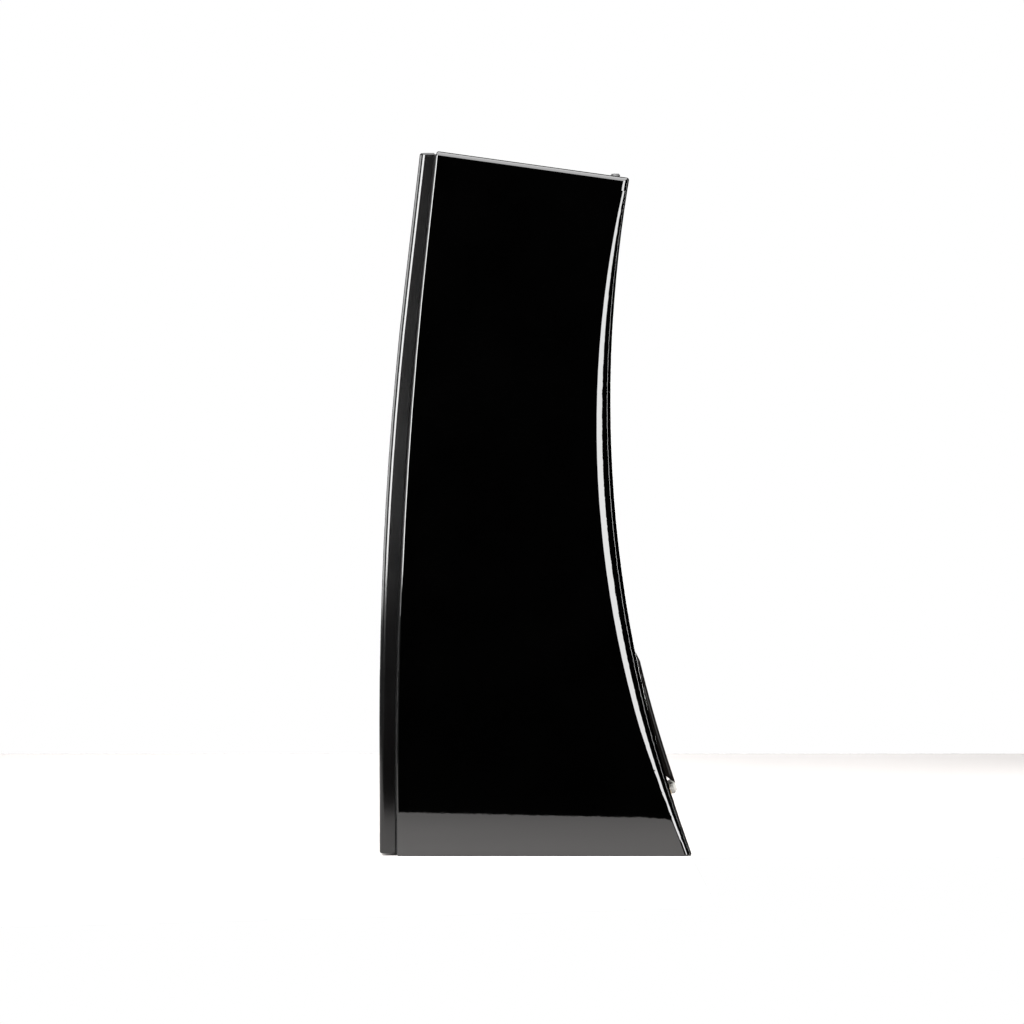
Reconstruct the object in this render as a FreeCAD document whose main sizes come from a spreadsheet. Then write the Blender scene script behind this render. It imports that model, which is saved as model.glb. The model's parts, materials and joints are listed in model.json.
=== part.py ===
import FreeCAD, Part
import math
import os
import re
import Sketcher

# A floorstanding loudspeaker, in millimetres: X is width, the front faces -Y and Z is up.
# The origin is on the floor, under the middle of the speaker's outline.

SIZES = {
    # cabinet outline
    "cabinet_width": 310,
    "cabinet_front": -235.65,
    "front_straight": 130,
    "front_bend": 1033,
    "front_arc": 8330,
    "rear_least": 128.3,
    "rear_waist": 779,
    "rear_arc": 2250,
    "top_height": 1200,
    "top_front": -166.85,
    "top_slope": 7.96,
    "tallest": 1250,
    "blank_reach": 1400,
    # cabinet panels
    "side_thick": 20,
    "rear_thick": 30,
    "top_thick": 24,
    "bottom_thick": 25,
    "wall_thick": 22,
    "front_round": 2.5,
    "top_round": 9,
    "top_end_round": 4,
    "foot_round": 3,
    "corner_round": 27,
    "corner_waist": 540,
    "corner_reach": 600,
    "corner_fall": 20,
    "corner_steps": 9,
    # front baffle
    "baffle_width": 300,
    "baffle_front": -266.1,
    "baffle_straight": 231,
    "baffle_bend": 969,
    "baffle_arc": 6400,
    "baffle_bottom": 4,
    "baffle_top": 1197,
    "baffle_gap": 3.75,
    "baffle_round": 9,
    "baffle_end_round": 4,
    "gasket_inset": 14,
    "gasket_end": 1,
    "flush_depth": 1.2,
    "fit_gap": 0.4,
    # shelves inside
    "shelf_thick": 18,
    "shelf_rim": 32,
    "lower_brace_height": 345,
    "upper_brace_height": 618,
    "midrange_shelf_height": 852,
    "lining_thick": 14,
    "lining_deep": 220,
    "lining_front": -150,
    "lining_foot": 40,
    "soft_gap": 0.3,
    # driver heights
    "woofer_low_height": 500,
    "woofer_high_height": 735,
    "midrange_height": 950,
    "tweeter_height": 1105,
    # woofers
    "woofer_trim_radius": 112,
    "woofer_roll": 6,
    "woofer_coil": 25,
    "woofer_depth": 56,
    "woofer_magnet": 70,
    "woofer_magnet_thick": 20,
    "woofer_plate_thick": 8,
    "woofer_screws": 8,
    # midrange
    "midrange_trim_radius": 84,
    "midrange_roll": 4.5,
    "midrange_coil": 16,
    "midrange_depth": 38,
    "midrange_magnet": 48,
    "midrange_magnet_thick": 15,
    "midrange_plate_thick": 6,
    "midrange_screws": 6,
    # what the cone drivers share
    "trim_thick": 8,
    "trim_face": 15,
    "trim_rim": 20,
    "flange_thick": 6,
    "skin": 1.2,
    "basket_wall": 3,
    "coil_wall": 1,
    "coil_play": 0.6,
    "magnet_bore": 10,
    "plate_step": 6,
    "vent_radius": 6,
    "chamber_wall": 2.5,
    "bore_reach": 120,
    "bolt_ring_inset": 7.5,
    "spoke_angle": 150,
    "cone_sweep": 2.6,
    "cap_lap": 9,
    "cap_swell": 1.35,
    "seat_reach": 24,
    "seat_step": 8,
    "spider_reach": 31,
    "spider_lift": 2.5,
    "spider_waves": 6,
    "window_count": 6,
    "window_turn_in": 17,
    "window_turn_out": 21,
    "screw_radius": 2.5,
    "screw_head": 4.2,
    "screw_head_thick": 4,
    "screw_length": 20,
    "screw_play": 0.2,
    "screw_socket": 2,
    "screw_socket_depth": 2.2,
    "bolt_radius": 3,
    "bolt_length": 38,
    "bolt_spread": 122,
    # tweeter
    "tweeter_face": 60,
    "tweeter_face_thick": 12,
    "tweeter_mouth": 44,
    "tweeter_horn": 45,
    "tweeter_dome": 13.5,
    "dome_skin": 0.5,
    "tweeter_motor": 36,
    "tweeter_motor_thick": 20,
    "tweeter_chamber": 30,
    "tweeter_chamber_thick": 36,
    "tweeter_screws": 6,
    # reflex port
    "port_radius": 33,
    "port_wall": 3,
    "port_flare": 16,
    "port_flange": 58,
    "port_flange_thick": 4,
    "port_length": 150,
    # terminals
    "terminal_height": 105,
    "terminal_plate_width": 116,
    "terminal_plate_tall": 56,
    "terminal_plate_thick": 3,
    "plate_screw_x": 50,
    "plate_screw_y": 20,
    "plate_rim_x": 15,
    "plate_rim_y": 12,
    "post_spread": 24,
    "post_radius": 3,
    "stud_tail": 24,
    "stud_turn": 10,
    "socket_radius": 2,
    "socket_depth": 10,
    "collar_radius": 10.5,
    "collar_thick": 2.5,
    "washer_thick": 1.5,
    "washer_play": 0.2,
    "knob_radius": 10.5,
    "knob_thick": 10,
    "knob_bevel": 5,
    "knob_play": 0.05,
    "stud_sunk": 3,
    "knob_flutes": 12,
    "flute_out": 1.4,
    "flute_radius": 2.2,
    # terminal hood
    "hood_width": 150,
    "hood_land": 30,
    "hood_overrun": 6,
    "hood_top": 352,
    "hood_shoulder": 328,
    "hood_bottom": 131.5,
    "hood_lip": 118.3,
    "hood_thin": 7,
    "hood_proud": 14.5,
    "hood_wall": 3,
    "hood_round": 5,
    # base fittings
    "insert_radius": 7,
    "insert_bore": 3.4,
    "insert_length": 20,
    "insert_spread_x": 230,
    "insert_spread_y": 400,
    "insert_middle": 10,
    # caps over the rear fixings in the top panel
    "cap_radius": 8,
    "cap_height": 5,
    "cap_depth": 8,
    "cap_round": 1.5,
    "cap_place": 136.15,
    "cap_spread": 132,
    # crossover
    "board_width": 170,
    "board_deep": 130,
    "board_thick": 3,
    "board_leg": 5,
    "board_height": 33,
    "board_place": 60,
    "wire_radius": 2.2,
    "wire_bend": 12,
    "wire_side": 70,
    "wire_place": 6,
}

# the four corners of a rectangle, and the heights of the bolts that hold the front baffle
CORNERS = ((1, 1), (-1, 1), (1, -1), (-1, -1))
BOLT_HEIGHTS = (
    "70",
    "lower_brace_height + 25",
    "upper_brace_height + 25",
    "midrange_shelf_height + 25",
    "1060",
)

document = FreeCAD.newDocument("floorstanding_speaker")
sheet = document.addObject("Spreadsheet::Sheet", "Dimensions")
pieces = []


def fill_sheet():
    """Write every driving dimension in its own named cell."""
    for row, (name, amount) in enumerate(SIZES.items(), start=1):
        cell = "A%d" % row
        sheet.set(cell, str(amount))
        sheet.setAlias(cell, name)
    document.recompute()


def bound(text):
    """Return the expression with each dimension's name made a reference to the sheet."""

    def refer(word):
        return "Dimensions." + word.group() if word.group() in SIZES else word.group()

    return re.sub(r"[a-z][a-z_]*", refer, str(text))


fill_sheet()
reader = document.addObject("App::FeaturePython", "Reader")
reader.addProperty("App::PropertyFloat", "amount")


def number(text):
    """Return the value of an expression of the sheet's dimensions."""
    reader.setExpression("amount", bound(text))
    reader.recompute()
    return reader.amount


def bind(thing, **properties):
    """Tie properties of a document object to expressions."""
    for name, text in properties.items():
        thing.setExpression(name, bound(text))


def piece(thing, name):
    """Give a finished sub-part its own label."""
    thing.Label = name
    pieces.append(thing)
    return thing


# Curves of the side outline, as expressions of a height


def front_y(kind, height):
    """Front face of the cabinet or the baffle: upright, then an arc, then a straight lean."""
    first, straight, bend, arc = {
        "cabinet": ("cabinet_front", "front_straight", "front_bend", "front_arc"),
        "baffle": ("baffle_front", "baffle_straight", "baffle_bend", "baffle_arc"),
    }[kind]
    up = number(height)
    if up <= number(straight):
        return first
    on_arc = "%s + %s - sqrt(%s^2 - (%%s - %s)^2)" % (first, arc, arc, straight)
    if up <= number(bend):
        return on_arc % ("(%s)" % height)
    lean = "(%s - %s) / sqrt(%s^2 - (%s - %s)^2)" % (bend, straight, arc, bend, straight)
    return "%s + %s * (%s - %s)" % (on_arc % bend, lean, height, bend)


def front_lean(kind, height):
    """How far the front face leans back at a height, in degrees."""
    step = 0.5
    above = number(front_y(kind, "%s + %s" % (height, step)))
    below = number(front_y(kind, "%s - %s" % (height, step)))
    return math.degrees(math.atan2(above - below, 2 * step))


def rear_y(height, inset="0"):
    """Rear face, a hollow arc, or the face a panel's thickness inside it."""
    return "rear_least + rear_arc - sqrt((rear_arc + %s)^2 - (%s - rear_waist)^2)" % (inset, height)


def corner_radius(height):
    """Rounding of the upright rear corners: widest a little below the waist."""
    return "corner_round - corner_fall * ((%s - corner_waist) / corner_reach)^2" % height


# Sketches and features


def origin_feature(body, role):
    """Return one of a body's own origin planes or axes."""
    return [item for item in body.Origin.OriginFeatures if item.Role == role][0]


def new_sketch(body, plane, name):
    sketch = body.newObject("Sketcher::SketchObject", name)
    sketch.AttachmentSupport = [(origin_feature(body, plane), "")]
    sketch.MapMode = "FlatFace"
    return sketch


def outline(sketch, corners):
    """Draw a closed outline. A corner is (across, up), or (across, up, radius, side) when the
    stretch after it is an arc that swells to the left of the way it is drawn (1) or right (-1)."""
    places = [FreeCAD.Vector(number(corner[0]), number(corner[1]), 0) for corner in corners]
    ends = []
    for index, corner in enumerate(corners):
        start, finish = places[index], places[(index + 1) % len(corners)]
        if len(corner) == 2:
            edge = sketch.addGeometry(Part.LineSegment(start, finish))
            ends.append((edge, 1, 2))
            continue
        chord = finish - start
        radius = number(corner[2])
        swell = radius - math.sqrt(max(radius**2 - chord.Length**2 / 4, 0))
        leftward = FreeCAD.Vector(-chord.y, chord.x, 0).normalize()
        middle = (start + finish) / 2 + leftward * swell * corner[3]
        edge = sketch.addGeometry(Part.Arc(start, middle, finish))
        forward = (sketch.getPoint(edge, 1) - start).Length < 1e-6
        ends.append((edge, 1, 2) if forward else (edge, 2, 1))
        limit = sketch.addConstraint(Sketcher.Constraint("Radius", edge, radius))
        sketch.setExpression("Constraints[%d]" % limit, bound(corner[2]))
    for index, corner in enumerate(corners):
        edge, first, last = ends[index]
        after, after_first, after_last = ends[(index + 1) % len(corners)]
        sketch.addConstraint(Sketcher.Constraint("Coincident", edge, last, after, after_first))
        for kind, text, amount in zip(("DistanceX", "DistanceY"), corner, places[index]):
            limit = sketch.addConstraint(Sketcher.Constraint(kind, -1, 1, edge, first, amount))
            sketch.setExpression("Constraints[%d]" % limit, bound(text))


def circle(sketch, across, up, radius):
    """Draw a circle with a bound centre and radius."""
    centre = FreeCAD.Vector(number(across), number(up), 0)
    edge = sketch.addGeometry(Part.Circle(centre, FreeCAD.Vector(0, 0, 1), number(radius)))
    limits = (
        (Sketcher.Constraint("DistanceX", -1, 1, edge, 3, centre.x), across),
        (Sketcher.Constraint("DistanceY", -1, 1, edge, 3, centre.y), up),
        (Sketcher.Constraint("Radius", edge, number(radius)), radius),
    )
    for constraint, text in limits:
        limit = sketch.addConstraint(constraint)
        sketch.setExpression("Constraints[%d]" % limit, bound(text))


def ring_of_circles(sketch, count, ring, radius, turn="0"):
    """Draw equal circles round the middle."""
    for index in range(int(number(count))):
        angle = "(%s + 360 * %d / %s) * 1deg" % (turn, index, count)
        circle(sketch, "(%s) * cos(%s)" % (ring, angle), "(%s) * sin(%s)" % (ring, angle), radius)


def padded_body(name, corners, width, centred=True):
    """Return a body: a side outline pulled out along X."""
    body = document.addObject("PartDesign::Body", name)
    sketch = new_sketch(body, "YZ_Plane", name + "_outline")
    outline(sketch, corners)
    pad = body.newObject("PartDesign::Pad", name + "_pad")
    pad.Profile = sketch
    pad.Midplane = centred
    bind(pad, Length=width)
    document.recompute()
    return body


def turned_body(name, *outlines):
    """Return a body of outlines turned about its own Z axis."""
    body = document.addObject("PartDesign::Body", name)
    for index, corners in enumerate(outlines):
        sketch = new_sketch(body, "XZ_Plane", "%s_outline_%d" % (name, index))
        outline(sketch, corners)
        turn = body.newObject("PartDesign::Revolution", "%s_turn_%d" % (name, index))
        turn.Profile = sketch
        turn.ReferenceAxis = (sketch, ["V_Axis"])
        turn.Angle = 360
    document.recompute()
    return body


def pocket(body, name, draw, depth=None):
    """Cut what draw puts on the body's XY plane: right through, or depth below the plane."""
    before = body.Shape.Volume
    sketch = new_sketch(body, "XY_Plane", name + "_outline")
    draw(sketch)
    cut_out = body.newObject("PartDesign::Pocket", name)
    cut_out.Profile = sketch
    if depth is None:
        cut_out.Type = "ThroughAll"
        cut_out.Midplane = True
    else:
        bind(cut_out, Length=depth)
    document.recompute()
    if not body.Shape.Volume < before:
        raise ValueError(name + " cuts nothing")


def rounded(body, name, radius, wanted):
    """Round the edges of a body that pass the test."""
    tip = body.Tip
    names = ["Edge%d" % (i + 1) for i, edge in enumerate(tip.Shape.Edges) if wanted(edge)]
    fillet = body.newObject("PartDesign::Fillet", name)
    fillet.Base = (tip, names)
    bind(fillet, Radius=radius)
    document.recompute()


def block(name, length, width, height, place):
    """A box centred on X, from its place along Y and Z."""
    box = document.addObject("Part::Box", name)
    bind(box, Length=length, Width=width, Height=height)
    box.Placement.Base = place + FreeCAD.Vector(-number(length) / 2, 0, 0)
    return box


def rod(name, radius, height, frame, along=0, across=(0, 0)):
    """A cylinder in a frame, from a distance along its axis."""
    cylinder = document.addObject("Part::Cylinder", name)
    bind(cylinder, Radius=radius, Height=height)
    offset = FreeCAD.Vector(across[0], across[1], along)
    cylinder.Placement = frame.multiply(FreeCAD.Placement(offset, FreeCAD.Rotation()))
    return cylinder


def joined(name, parts):
    """One shape of several."""
    if len(parts) == 1:
        return parts[0]
    fuse = document.addObject("Part::MultiFuse", name)
    fuse.Shapes = parts
    document.recompute()
    return fuse


def together(name, parts):
    """Separate solids kept side by side in one node."""
    group = document.addObject("Part::Compound", name)
    group.Links = parts
    document.recompute()
    return group


def cut(name, base, tool):
    result = document.addObject("Part::Cut", name)
    result.Base = base
    result.Tool = tool
    document.recompute()
    if not result.Shape.Volume < base.Shape.Volume:
        raise ValueError(name + " cuts nothing")
    return result


def shared(name, base, tool):
    result = document.addObject("Part::Common", name)
    result.Base = base
    result.Tool = tool
    document.recompute()
    return result


# Edge tests


def ends_of(edge):
    return [vertex.Point for vertex in edge.Vertexes]


def upright_at(across, front=None):
    """Test for upright edges at a distance either side of the middle, on the front half or the rear."""

    def wanted(edge):
        ends = ends_of(edge)
        if len(ends) < 2 or any(abs(abs(end.x) - across) > 1e-3 for end in ends):
            return False
        run = ends[1] - ends[0]
        if abs(run.x) > 1e-3 or abs(run.z) < 0.6 * abs(run.y):
            return False
        return front is None or (ends[0].y < front) and (ends[1].y < front)

    return wanted


# Frames that the small parts are built in


def tipped(degrees):
    """A turn about X."""
    return FreeCAD.Rotation(FreeCAD.Vector(1, 0, 0), degrees)


def face_frame(height):
    """Frame on the baffle's face: Z points out of it, square to the face."""
    place = FreeCAD.Vector(0, number(front_y("baffle", height)), number(height))
    return FreeCAD.Placement(place, tipped(90 - front_lean("baffle", height)))


def rear_frame(height):
    """Frame on the rear face: Z points out of it, square to the face."""
    place = FreeCAD.Vector(0, number(rear_y(height)), number(height))
    rise = number(rear_y("%s + 0.5" % height)) - number(rear_y("%s - 0.5" % height))
    return FreeCAD.Placement(place, tipped(-90 - math.degrees(math.atan(rise))))


def top_frame():
    """Frame on the sloping top, at its front edge."""
    place = FreeCAD.Vector(0, number("top_front"), number("top_height"))
    return FreeCAD.Placement(place, tipped(-number("top_slope")))


# Cabinet


def front_rise(kind, low, high, inset="0"):
    """Corners up a front curve from low to high, moved back by inset."""
    straight = {"cabinet": "front_straight", "baffle": "baffle_straight"}[kind]
    bend = {"cabinet": "front_bend", "baffle": "baffle_bend"}[kind]
    arc = {"cabinet": "front_arc", "baffle": "baffle_arc"}[kind]
    corners = [(front_y(kind, low) + " + " + inset, low)]
    corners.append((front_y(kind, straight) + " + " + inset, straight, arc, 1))
    corners.append((front_y(kind, bend) + " + " + inset, bend))
    corners.append((front_y(kind, high) + " + " + inset, high))
    return corners


def rear_fall(high, low, inset):
    """Corners down the rear curve, moved in by inset."""
    corners = [(rear_y(high, inset), high, "rear_arc + " + inset, -1)]
    corners.append((rear_y(low, inset), low))
    return corners


def trimmed(name, blank, low, thick):
    """Keep the part of a blank that lies between two planes parallel to the top."""
    keep = document.addObject("Part::Box", name + "_keep")
    bind(keep, Length="cabinet_width * 2", Width="blank_reach", Height=thick)
    corner = FreeCAD.Vector(-number("cabinet_width"), -number("blank_reach / 4"), number(low))
    keep.Placement = top_frame().multiply(FreeCAD.Placement(corner, FreeCAD.Rotation()))
    return shared(name, blank, keep)


def under_top(name, blank):
    """Keep what lies under the top panel."""
    return trimmed(name, blank, "-blank_reach - top_thick", "blank_reach")


def make_side_panels():
    """Two flat sides between the top, the bottom and the rear panel, rounded down the front edge."""
    corners = front_rise("cabinet", "bottom_thick", "tallest")
    corners += rear_fall("tallest", "bottom_thick", "rear_thick")
    for name, side in (("side_panel_left", -1), ("side_panel_right", 1)):
        blank = padded_body(name + "_blank", corners, "side_thick", centred=False)
        outer = number("side_thick") if side > 0 else 0
        rounded(
            blank,
            name + "_round",
            "front_round",
            lambda edge: abs(edge.CenterOfMass.x - outer) < 1e-3
            and edge.CenterOfMass.y < 0
            and abs(edge.Vertexes[0].Point.z - edge.Vertexes[1].Point.z) > 30
            and abs(edge.Vertexes[0].Point.x - edge.Vertexes[1].Point.x) < 1e-3,
        )
        shift = number("cabinet_width / 2 - side_thick") if side > 0 else -number("cabinet_width / 2")
        blank.Placement.Base = FreeCAD.Vector(shift, 0, 0)
        piece(under_top(name, blank), name)


def make_rear_panel():
    """The hollow rear wall, whose upright corners are rounded by an amount that changes with height."""
    step = "(bottom_thick + (tallest - bottom_thick) * %d / corner_steps)"
    corners = [(rear_y(step % i), step % i, "rear_arc", 1) for i in range(int(number("corner_steps")))]
    corners.append((rear_y("tallest"), "tallest"))
    corners += rear_fall("tallest", "bottom_thick", "rear_thick")
    blank = padded_body("rear_panel_blank", corners, "cabinet_width")
    plain = under_top("rear_panel_plain", blank)
    half = number("cabinet_width / 2")
    rounds = []
    for index, edge in enumerate(plain.Shape.Edges, start=1):
        ends = ends_of(edge)
        on_face = all(abs(end.y - number(rear_y("%f" % end.z))) < 1e-3 for end in ends)
        on_side = all(abs(abs(end.x) - half) < 1e-3 for end in ends)
        if on_face and on_side and abs(ends[0].z - ends[1].z) > 1:
            radii = [number(corner_radius("%f" % end.z)) for end in ends]
            rounds.append((index, *radii))
    panel = document.addObject("Part::Fillet", "rear_panel_rounded")
    panel.Base = plain
    panel.Edges = rounds
    document.recompute()
    port = rear_frame("rear_waist")
    plate = rear_frame("terminal_height")
    seat_width, seat_tall = "terminal_plate_width + 2 * soft_gap", "terminal_plate_tall + 2 * soft_gap"
    hole_width, hole_tall = "terminal_plate_width - 2 * plate_rim_x", "terminal_plate_tall - 2 * plate_rim_y"
    behind = -number("terminal_plate_thick")
    mouth = "port_radius + port_flare + fit_gap"
    flange = "port_flange + fit_gap"
    tools = [
        rod("port_hole", mouth, "rear_thick * 2", port, -2 * number("rear_thick")),
        rod("port_seat", flange, "port_flange_thick + 20", port, -number("port_flange_thick") - 1),
        plate_box("plate_seat", seat_width, seat_tall, "rear_thick", plate, behind),
        plate_box("plate_hole", hole_width, hole_tall, "rear_thick * 3", plate, -2.6 * number("rear_thick")),
    ]
    for index, spot in enumerate(plate_screw_places()):
        tools.append(rod("plate_pilot_%d" % index, "screw_radius", "rear_thick", plate, -17, spot))
    piece(cut("rear_panel", panel, joined("rear_panel_tools", tools)), "rear_panel")


def plate_box(name, width, tall, thick, frame, along):
    """A box centred on a frame's axis, from a distance along it."""
    box = document.addObject("Part::Box", name)
    bind(box, Length=width, Width=tall, Height=thick)
    corner = FreeCAD.Vector(-number(width) / 2, -number(tall) / 2, along)
    box.Placement = frame.multiply(FreeCAD.Placement(corner, FreeCAD.Rotation()))
    return box


def make_top_panel():
    """The sloping top, laid over the walls and rounded all round."""
    low = "1100"
    corners = [(front_y("cabinet", low), low), (front_y("cabinet", "tallest"), "tallest")]
    corners += rear_fall("tallest", low, "0")
    blank = padded_body("top_panel_blank", corners, "cabinet_width")
    plain = trimmed("top_panel_plain", blank, "-top_thick", "top_thick")
    frame = top_frame().inverse()
    rounds = []
    for index, edge in enumerate(plain.Shape.Edges, start=1):
        ends = [frame.multVec(end) for end in ends_of(edge)]
        if abs(ends[0].z) < 1e-3 and abs(ends[1].z) < 1e-3:
            crosswise = abs(ends[0].y - ends[1].y) < 1
            radius = number("top_end_round") if crosswise else number("top_round")
            rounds.append((index, radius, radius))
        elif abs(ends[0].z - ends[1].z) > 1:
            radius = number("front_round") if ends[0].y < 100 else number("top_round + 1")
            rounds.append((index, radius, radius))
    panel = document.addObject("Part::Fillet", "top_panel_rounded")
    panel.Base = plain
    panel.Edges = rounds
    document.recompute()
    holes = []
    floor = -number("cap_depth")
    for side in (1, -1):
        holes.append(rod("cap_hole_%d" % (side + 2), "cap_radius", "cap_depth * 2", cap_frame(side), floor))
    piece(cut("top_panel", panel, joined("cap_holes", holes)), "top_panel")


def make_bottom_panel():
    """The thick floor of the cabinet, with blind holes for the threaded inserts."""
    corners = [("cabinet_front", "0"), ("cabinet_front", "bottom_thick")]
    corners += rear_fall("bottom_thick", "0", "0")
    body = padded_body("bottom_panel_blank", corners, "cabinet_width")
    half = number("cabinet_width / 2")
    rounded(body, "bottom_front_corners", "front_round", upright_at(half, front=0))
    rounded(
        body,
        "bottom_rear_corners",
        corner_radius("bottom_thick"),
        lambda edge: upright_at(half)(edge) and edge.CenterOfMass.y > 0,
    )
    rounded(body, "bottom_foot", "foot_round", lambda edge: abs(edge.BoundBox.ZMax) < 1e-3)
    pocket(body, "insert_holes", lambda sketch: insert_circles(sketch, "insert_radius"))
    piece(body, "bottom_panel")


def insert_circles(sketch, radius):
    """Draw the four places of the floor's threaded sleeves."""
    for across in ("insert_spread_x / 2", "-insert_spread_x / 2"):
        for along in ("insert_middle + insert_spread_y / 2", "insert_middle - insert_spread_y / 2"):
            circle(sketch, across, along, radius)


def make_foot_inserts():
    """Threaded sleeves let into the floor panel, for spikes or a plinth."""
    solids = []
    frame = FreeCAD.Placement(FreeCAD.Vector(0, number("insert_middle"), 0), FreeCAD.Rotation())
    for index, (x, y) in enumerate(CORNERS):
        across = (x * number("insert_spread_x / 2"), y * number("insert_spread_y / 2"))
        name = "insert_%d" % index
        outer = rod(name + "_outer", "insert_radius", "bottom_thick", frame, 0, across)
        bore = rod(name + "_bore", "insert_bore", "insert_length", frame, 0, across)
        solids.append(cut(name, outer, bore))
    piece(together("foot_inserts", solids), "foot_inserts")


def make_inner_baffle(tools):
    """The cabinet's own front wall, between the sides."""
    corners = front_rise("cabinet", "bottom_thick", "tallest")
    back = front_rise("cabinet", "bottom_thick", "tallest", "wall_thick")
    corners += turned_back(back)
    blank = padded_body("inner_baffle_blank", corners, "cabinet_width - 2 * side_thick")
    plain = under_top("inner_baffle_plain", blank)
    piece(cut("inner_baffle", plain, tools), "inner_baffle")


def turned_back(rise):
    """The same curve drawn from its top to its foot."""
    foot, straight, bend, top = rise
    return [top, (bend[0], bend[1], straight[2], -1), straight[:2], foot]


def make_front_baffle(tools):
    """The separate front slab that carries the drivers, a shadow gap in front of the cabinet."""
    corners = front_rise("baffle", "baffle_bottom", "baffle_top")
    corners += turned_back(front_rise("cabinet", "baffle_bottom", "baffle_top", "-baffle_gap"))
    body = padded_body("front_baffle_blank", corners, "baffle_width")
    half = number("baffle_width / 2")

    def front_edge(edge):
        ends = ends_of(edge)
        return all(abs(end.y - number(front_y("baffle", "%f" % end.z))) < 1e-2 for end in ends)

    rounded(body, "baffle_sides", "baffle_round", lambda edge: front_edge(edge) and upright_at(half)(edge))
    levels = (number("baffle_bottom"), number("baffle_top"))
    foremost = number(front_y("baffle", "baffle_top")) + number("baffle_round")

    def end_edge(edge):
        box = edge.BoundBox
        level = any(abs(box.ZMin - height) < 1e-3 and abs(box.ZMax - height) < 1e-3 for height in levels)
        return level and box.YMax < foremost + 1 and box.YLength < number("baffle_round") + 1

    rounded(body, "baffle_ends", "baffle_end_round", end_edge)
    piece(cut("front_baffle", body, tools), "front_baffle")


def make_baffle_gasket(tools):
    """The thin seal in the shadow gap, set in from the edges."""
    low, high = "baffle_bottom + gasket_end", "baffle_top - gasket_end"
    corners = front_rise("cabinet", low, high, "-baffle_gap")
    corners += turned_back(front_rise("cabinet", low, high))
    body = padded_body("baffle_gasket_blank", corners, "baffle_width - 2 * gasket_inset")
    piece(cut("baffle_gasket", body, tools), "baffle_gasket")


def cavity():
    """The air space inside the cabinet, which the shelves are trimmed to."""
    corners = front_rise("cabinet", "bottom_thick", "tallest", "wall_thick")
    corners += rear_fall("tallest", "bottom_thick", "rear_thick")
    return under_top("cavity", padded_body("cavity_blank", corners, "cabinet_width - 2 * side_thick"))


def make_shelves(space):
    """Two window braces and the closed shelf under the midrange."""
    braces = []
    for name, height in (("lower_brace", "lower_brace_height"), ("upper_brace", "upper_brace_height")):
        braces.append(shelf(name, height, space, window=True))
    piece(together("cabinet_braces", braces), "cabinet_braces")
    piece(shelf("midrange_shelf", "midrange_shelf_height", space, window=False), "midrange_shelf")


def shelf(name, height, space, window):
    """A shelf across the air space, with a large window or only a hole for the cables."""
    place = FreeCAD.Vector(0, -number("blank_reach / 2"), number(height) - number("shelf_thick / 2"))
    plate = block(name + "_plate", "cabinet_width", "blank_reach", "shelf_thick", place)
    board = shared(name + "_board", space, plate)
    box = board.Shape.BoundBox
    rim = number("shelf_rim")
    place = FreeCAD.Vector(0, box.YMin + rim, box.ZMin - 5)
    tools = [
        block(
            name + "_window",
            "cabinet_width - 2 * side_thick - 2 * shelf_rim",
            "%f" % (box.YLength - 2 * rim),
            "shelf_thick + 10",
            place,
        )
    ]
    if not window:
        centre = FreeCAD.Vector(-number("wire_side"), number("wire_place"), box.ZMin - 5)
        passage = FreeCAD.Placement(centre, FreeCAD.Rotation())
        tools = [rod(name + "_grommet", "wire_radius * 3.5", "shelf_thick + 10", passage)]
    return cut(name, board, joined(name + "_tools", tools))


def make_lining():
    """Felt on the inside of both sides, in the three bays between the shelves."""
    bays = (
        ("bottom_thick + lining_foot", "lower_brace_height - shelf_thick / 2"),
        ("lower_brace_height + shelf_thick / 2", "upper_brace_height - shelf_thick / 2"),
        ("upper_brace_height + shelf_thick / 2", "midrange_shelf_height - shelf_thick / 2"),
    )
    felts = []
    for low, high in bays:
        for side in (1, -1):
            felt = document.addObject("Part::Box", "felt_%d" % len(felts))
            height = "(%s) - (%s) - 2 * soft_gap" % (high, low)
            bind(felt, Length="lining_thick", Width="lining_deep", Height=height)
            inner = number("cabinet_width / 2 - side_thick - soft_gap")
            x = inner - number("lining_thick") if side > 0 else -inner
            felt.Placement.Base = FreeCAD.Vector(x, number("lining_front"), number(low) + number("soft_gap"))
            felts.append(felt)
    piece(together("damping_felt", felts), "damping_felt")


# Drivers


def driver_sizes(kind):
    """Expressions of the sizes that a cone driver's pieces share, along its axis from the face."""
    opening = "%s_trim_radius - trim_rim" % kind
    trim_back = "(-flush_depth - trim_thick)"
    lip_back = "(-flush_depth - trim_thick - skin)"
    flange_back = "(-flush_depth - trim_thick - skin - flange_thick)"
    floor = "(-flush_depth - trim_thick - skin - flange_thick - %s_depth)" % kind
    return {
        "trim": "%s_trim_radius" % kind,
        "opening": "(%s)" % opening,
        "edge": "(%s - 2 * %s_roll)" % (opening, kind),
        "roll": "%s_roll" % kind,
        "coil": "%s_coil" % kind,
        "magnet": "%s_magnet" % kind,
        "magnet_thick": "%s_magnet_thick" % kind,
        "plate": "%s_plate_thick" % kind,
        "face": "(-flush_depth)",
        "trim_back": trim_back,
        "lip_back": lip_back,
        "flange_back": flange_back,
        "floor": floor,
        "plate_top": "(%s - basket_wall)" % floor,
        "neck": "(%s + 12)" % floor,
        "screws": "%s_screws" % kind,
        "bolt_ring": "(%s_trim_radius - bolt_ring_inset)" % kind,
    }


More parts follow.
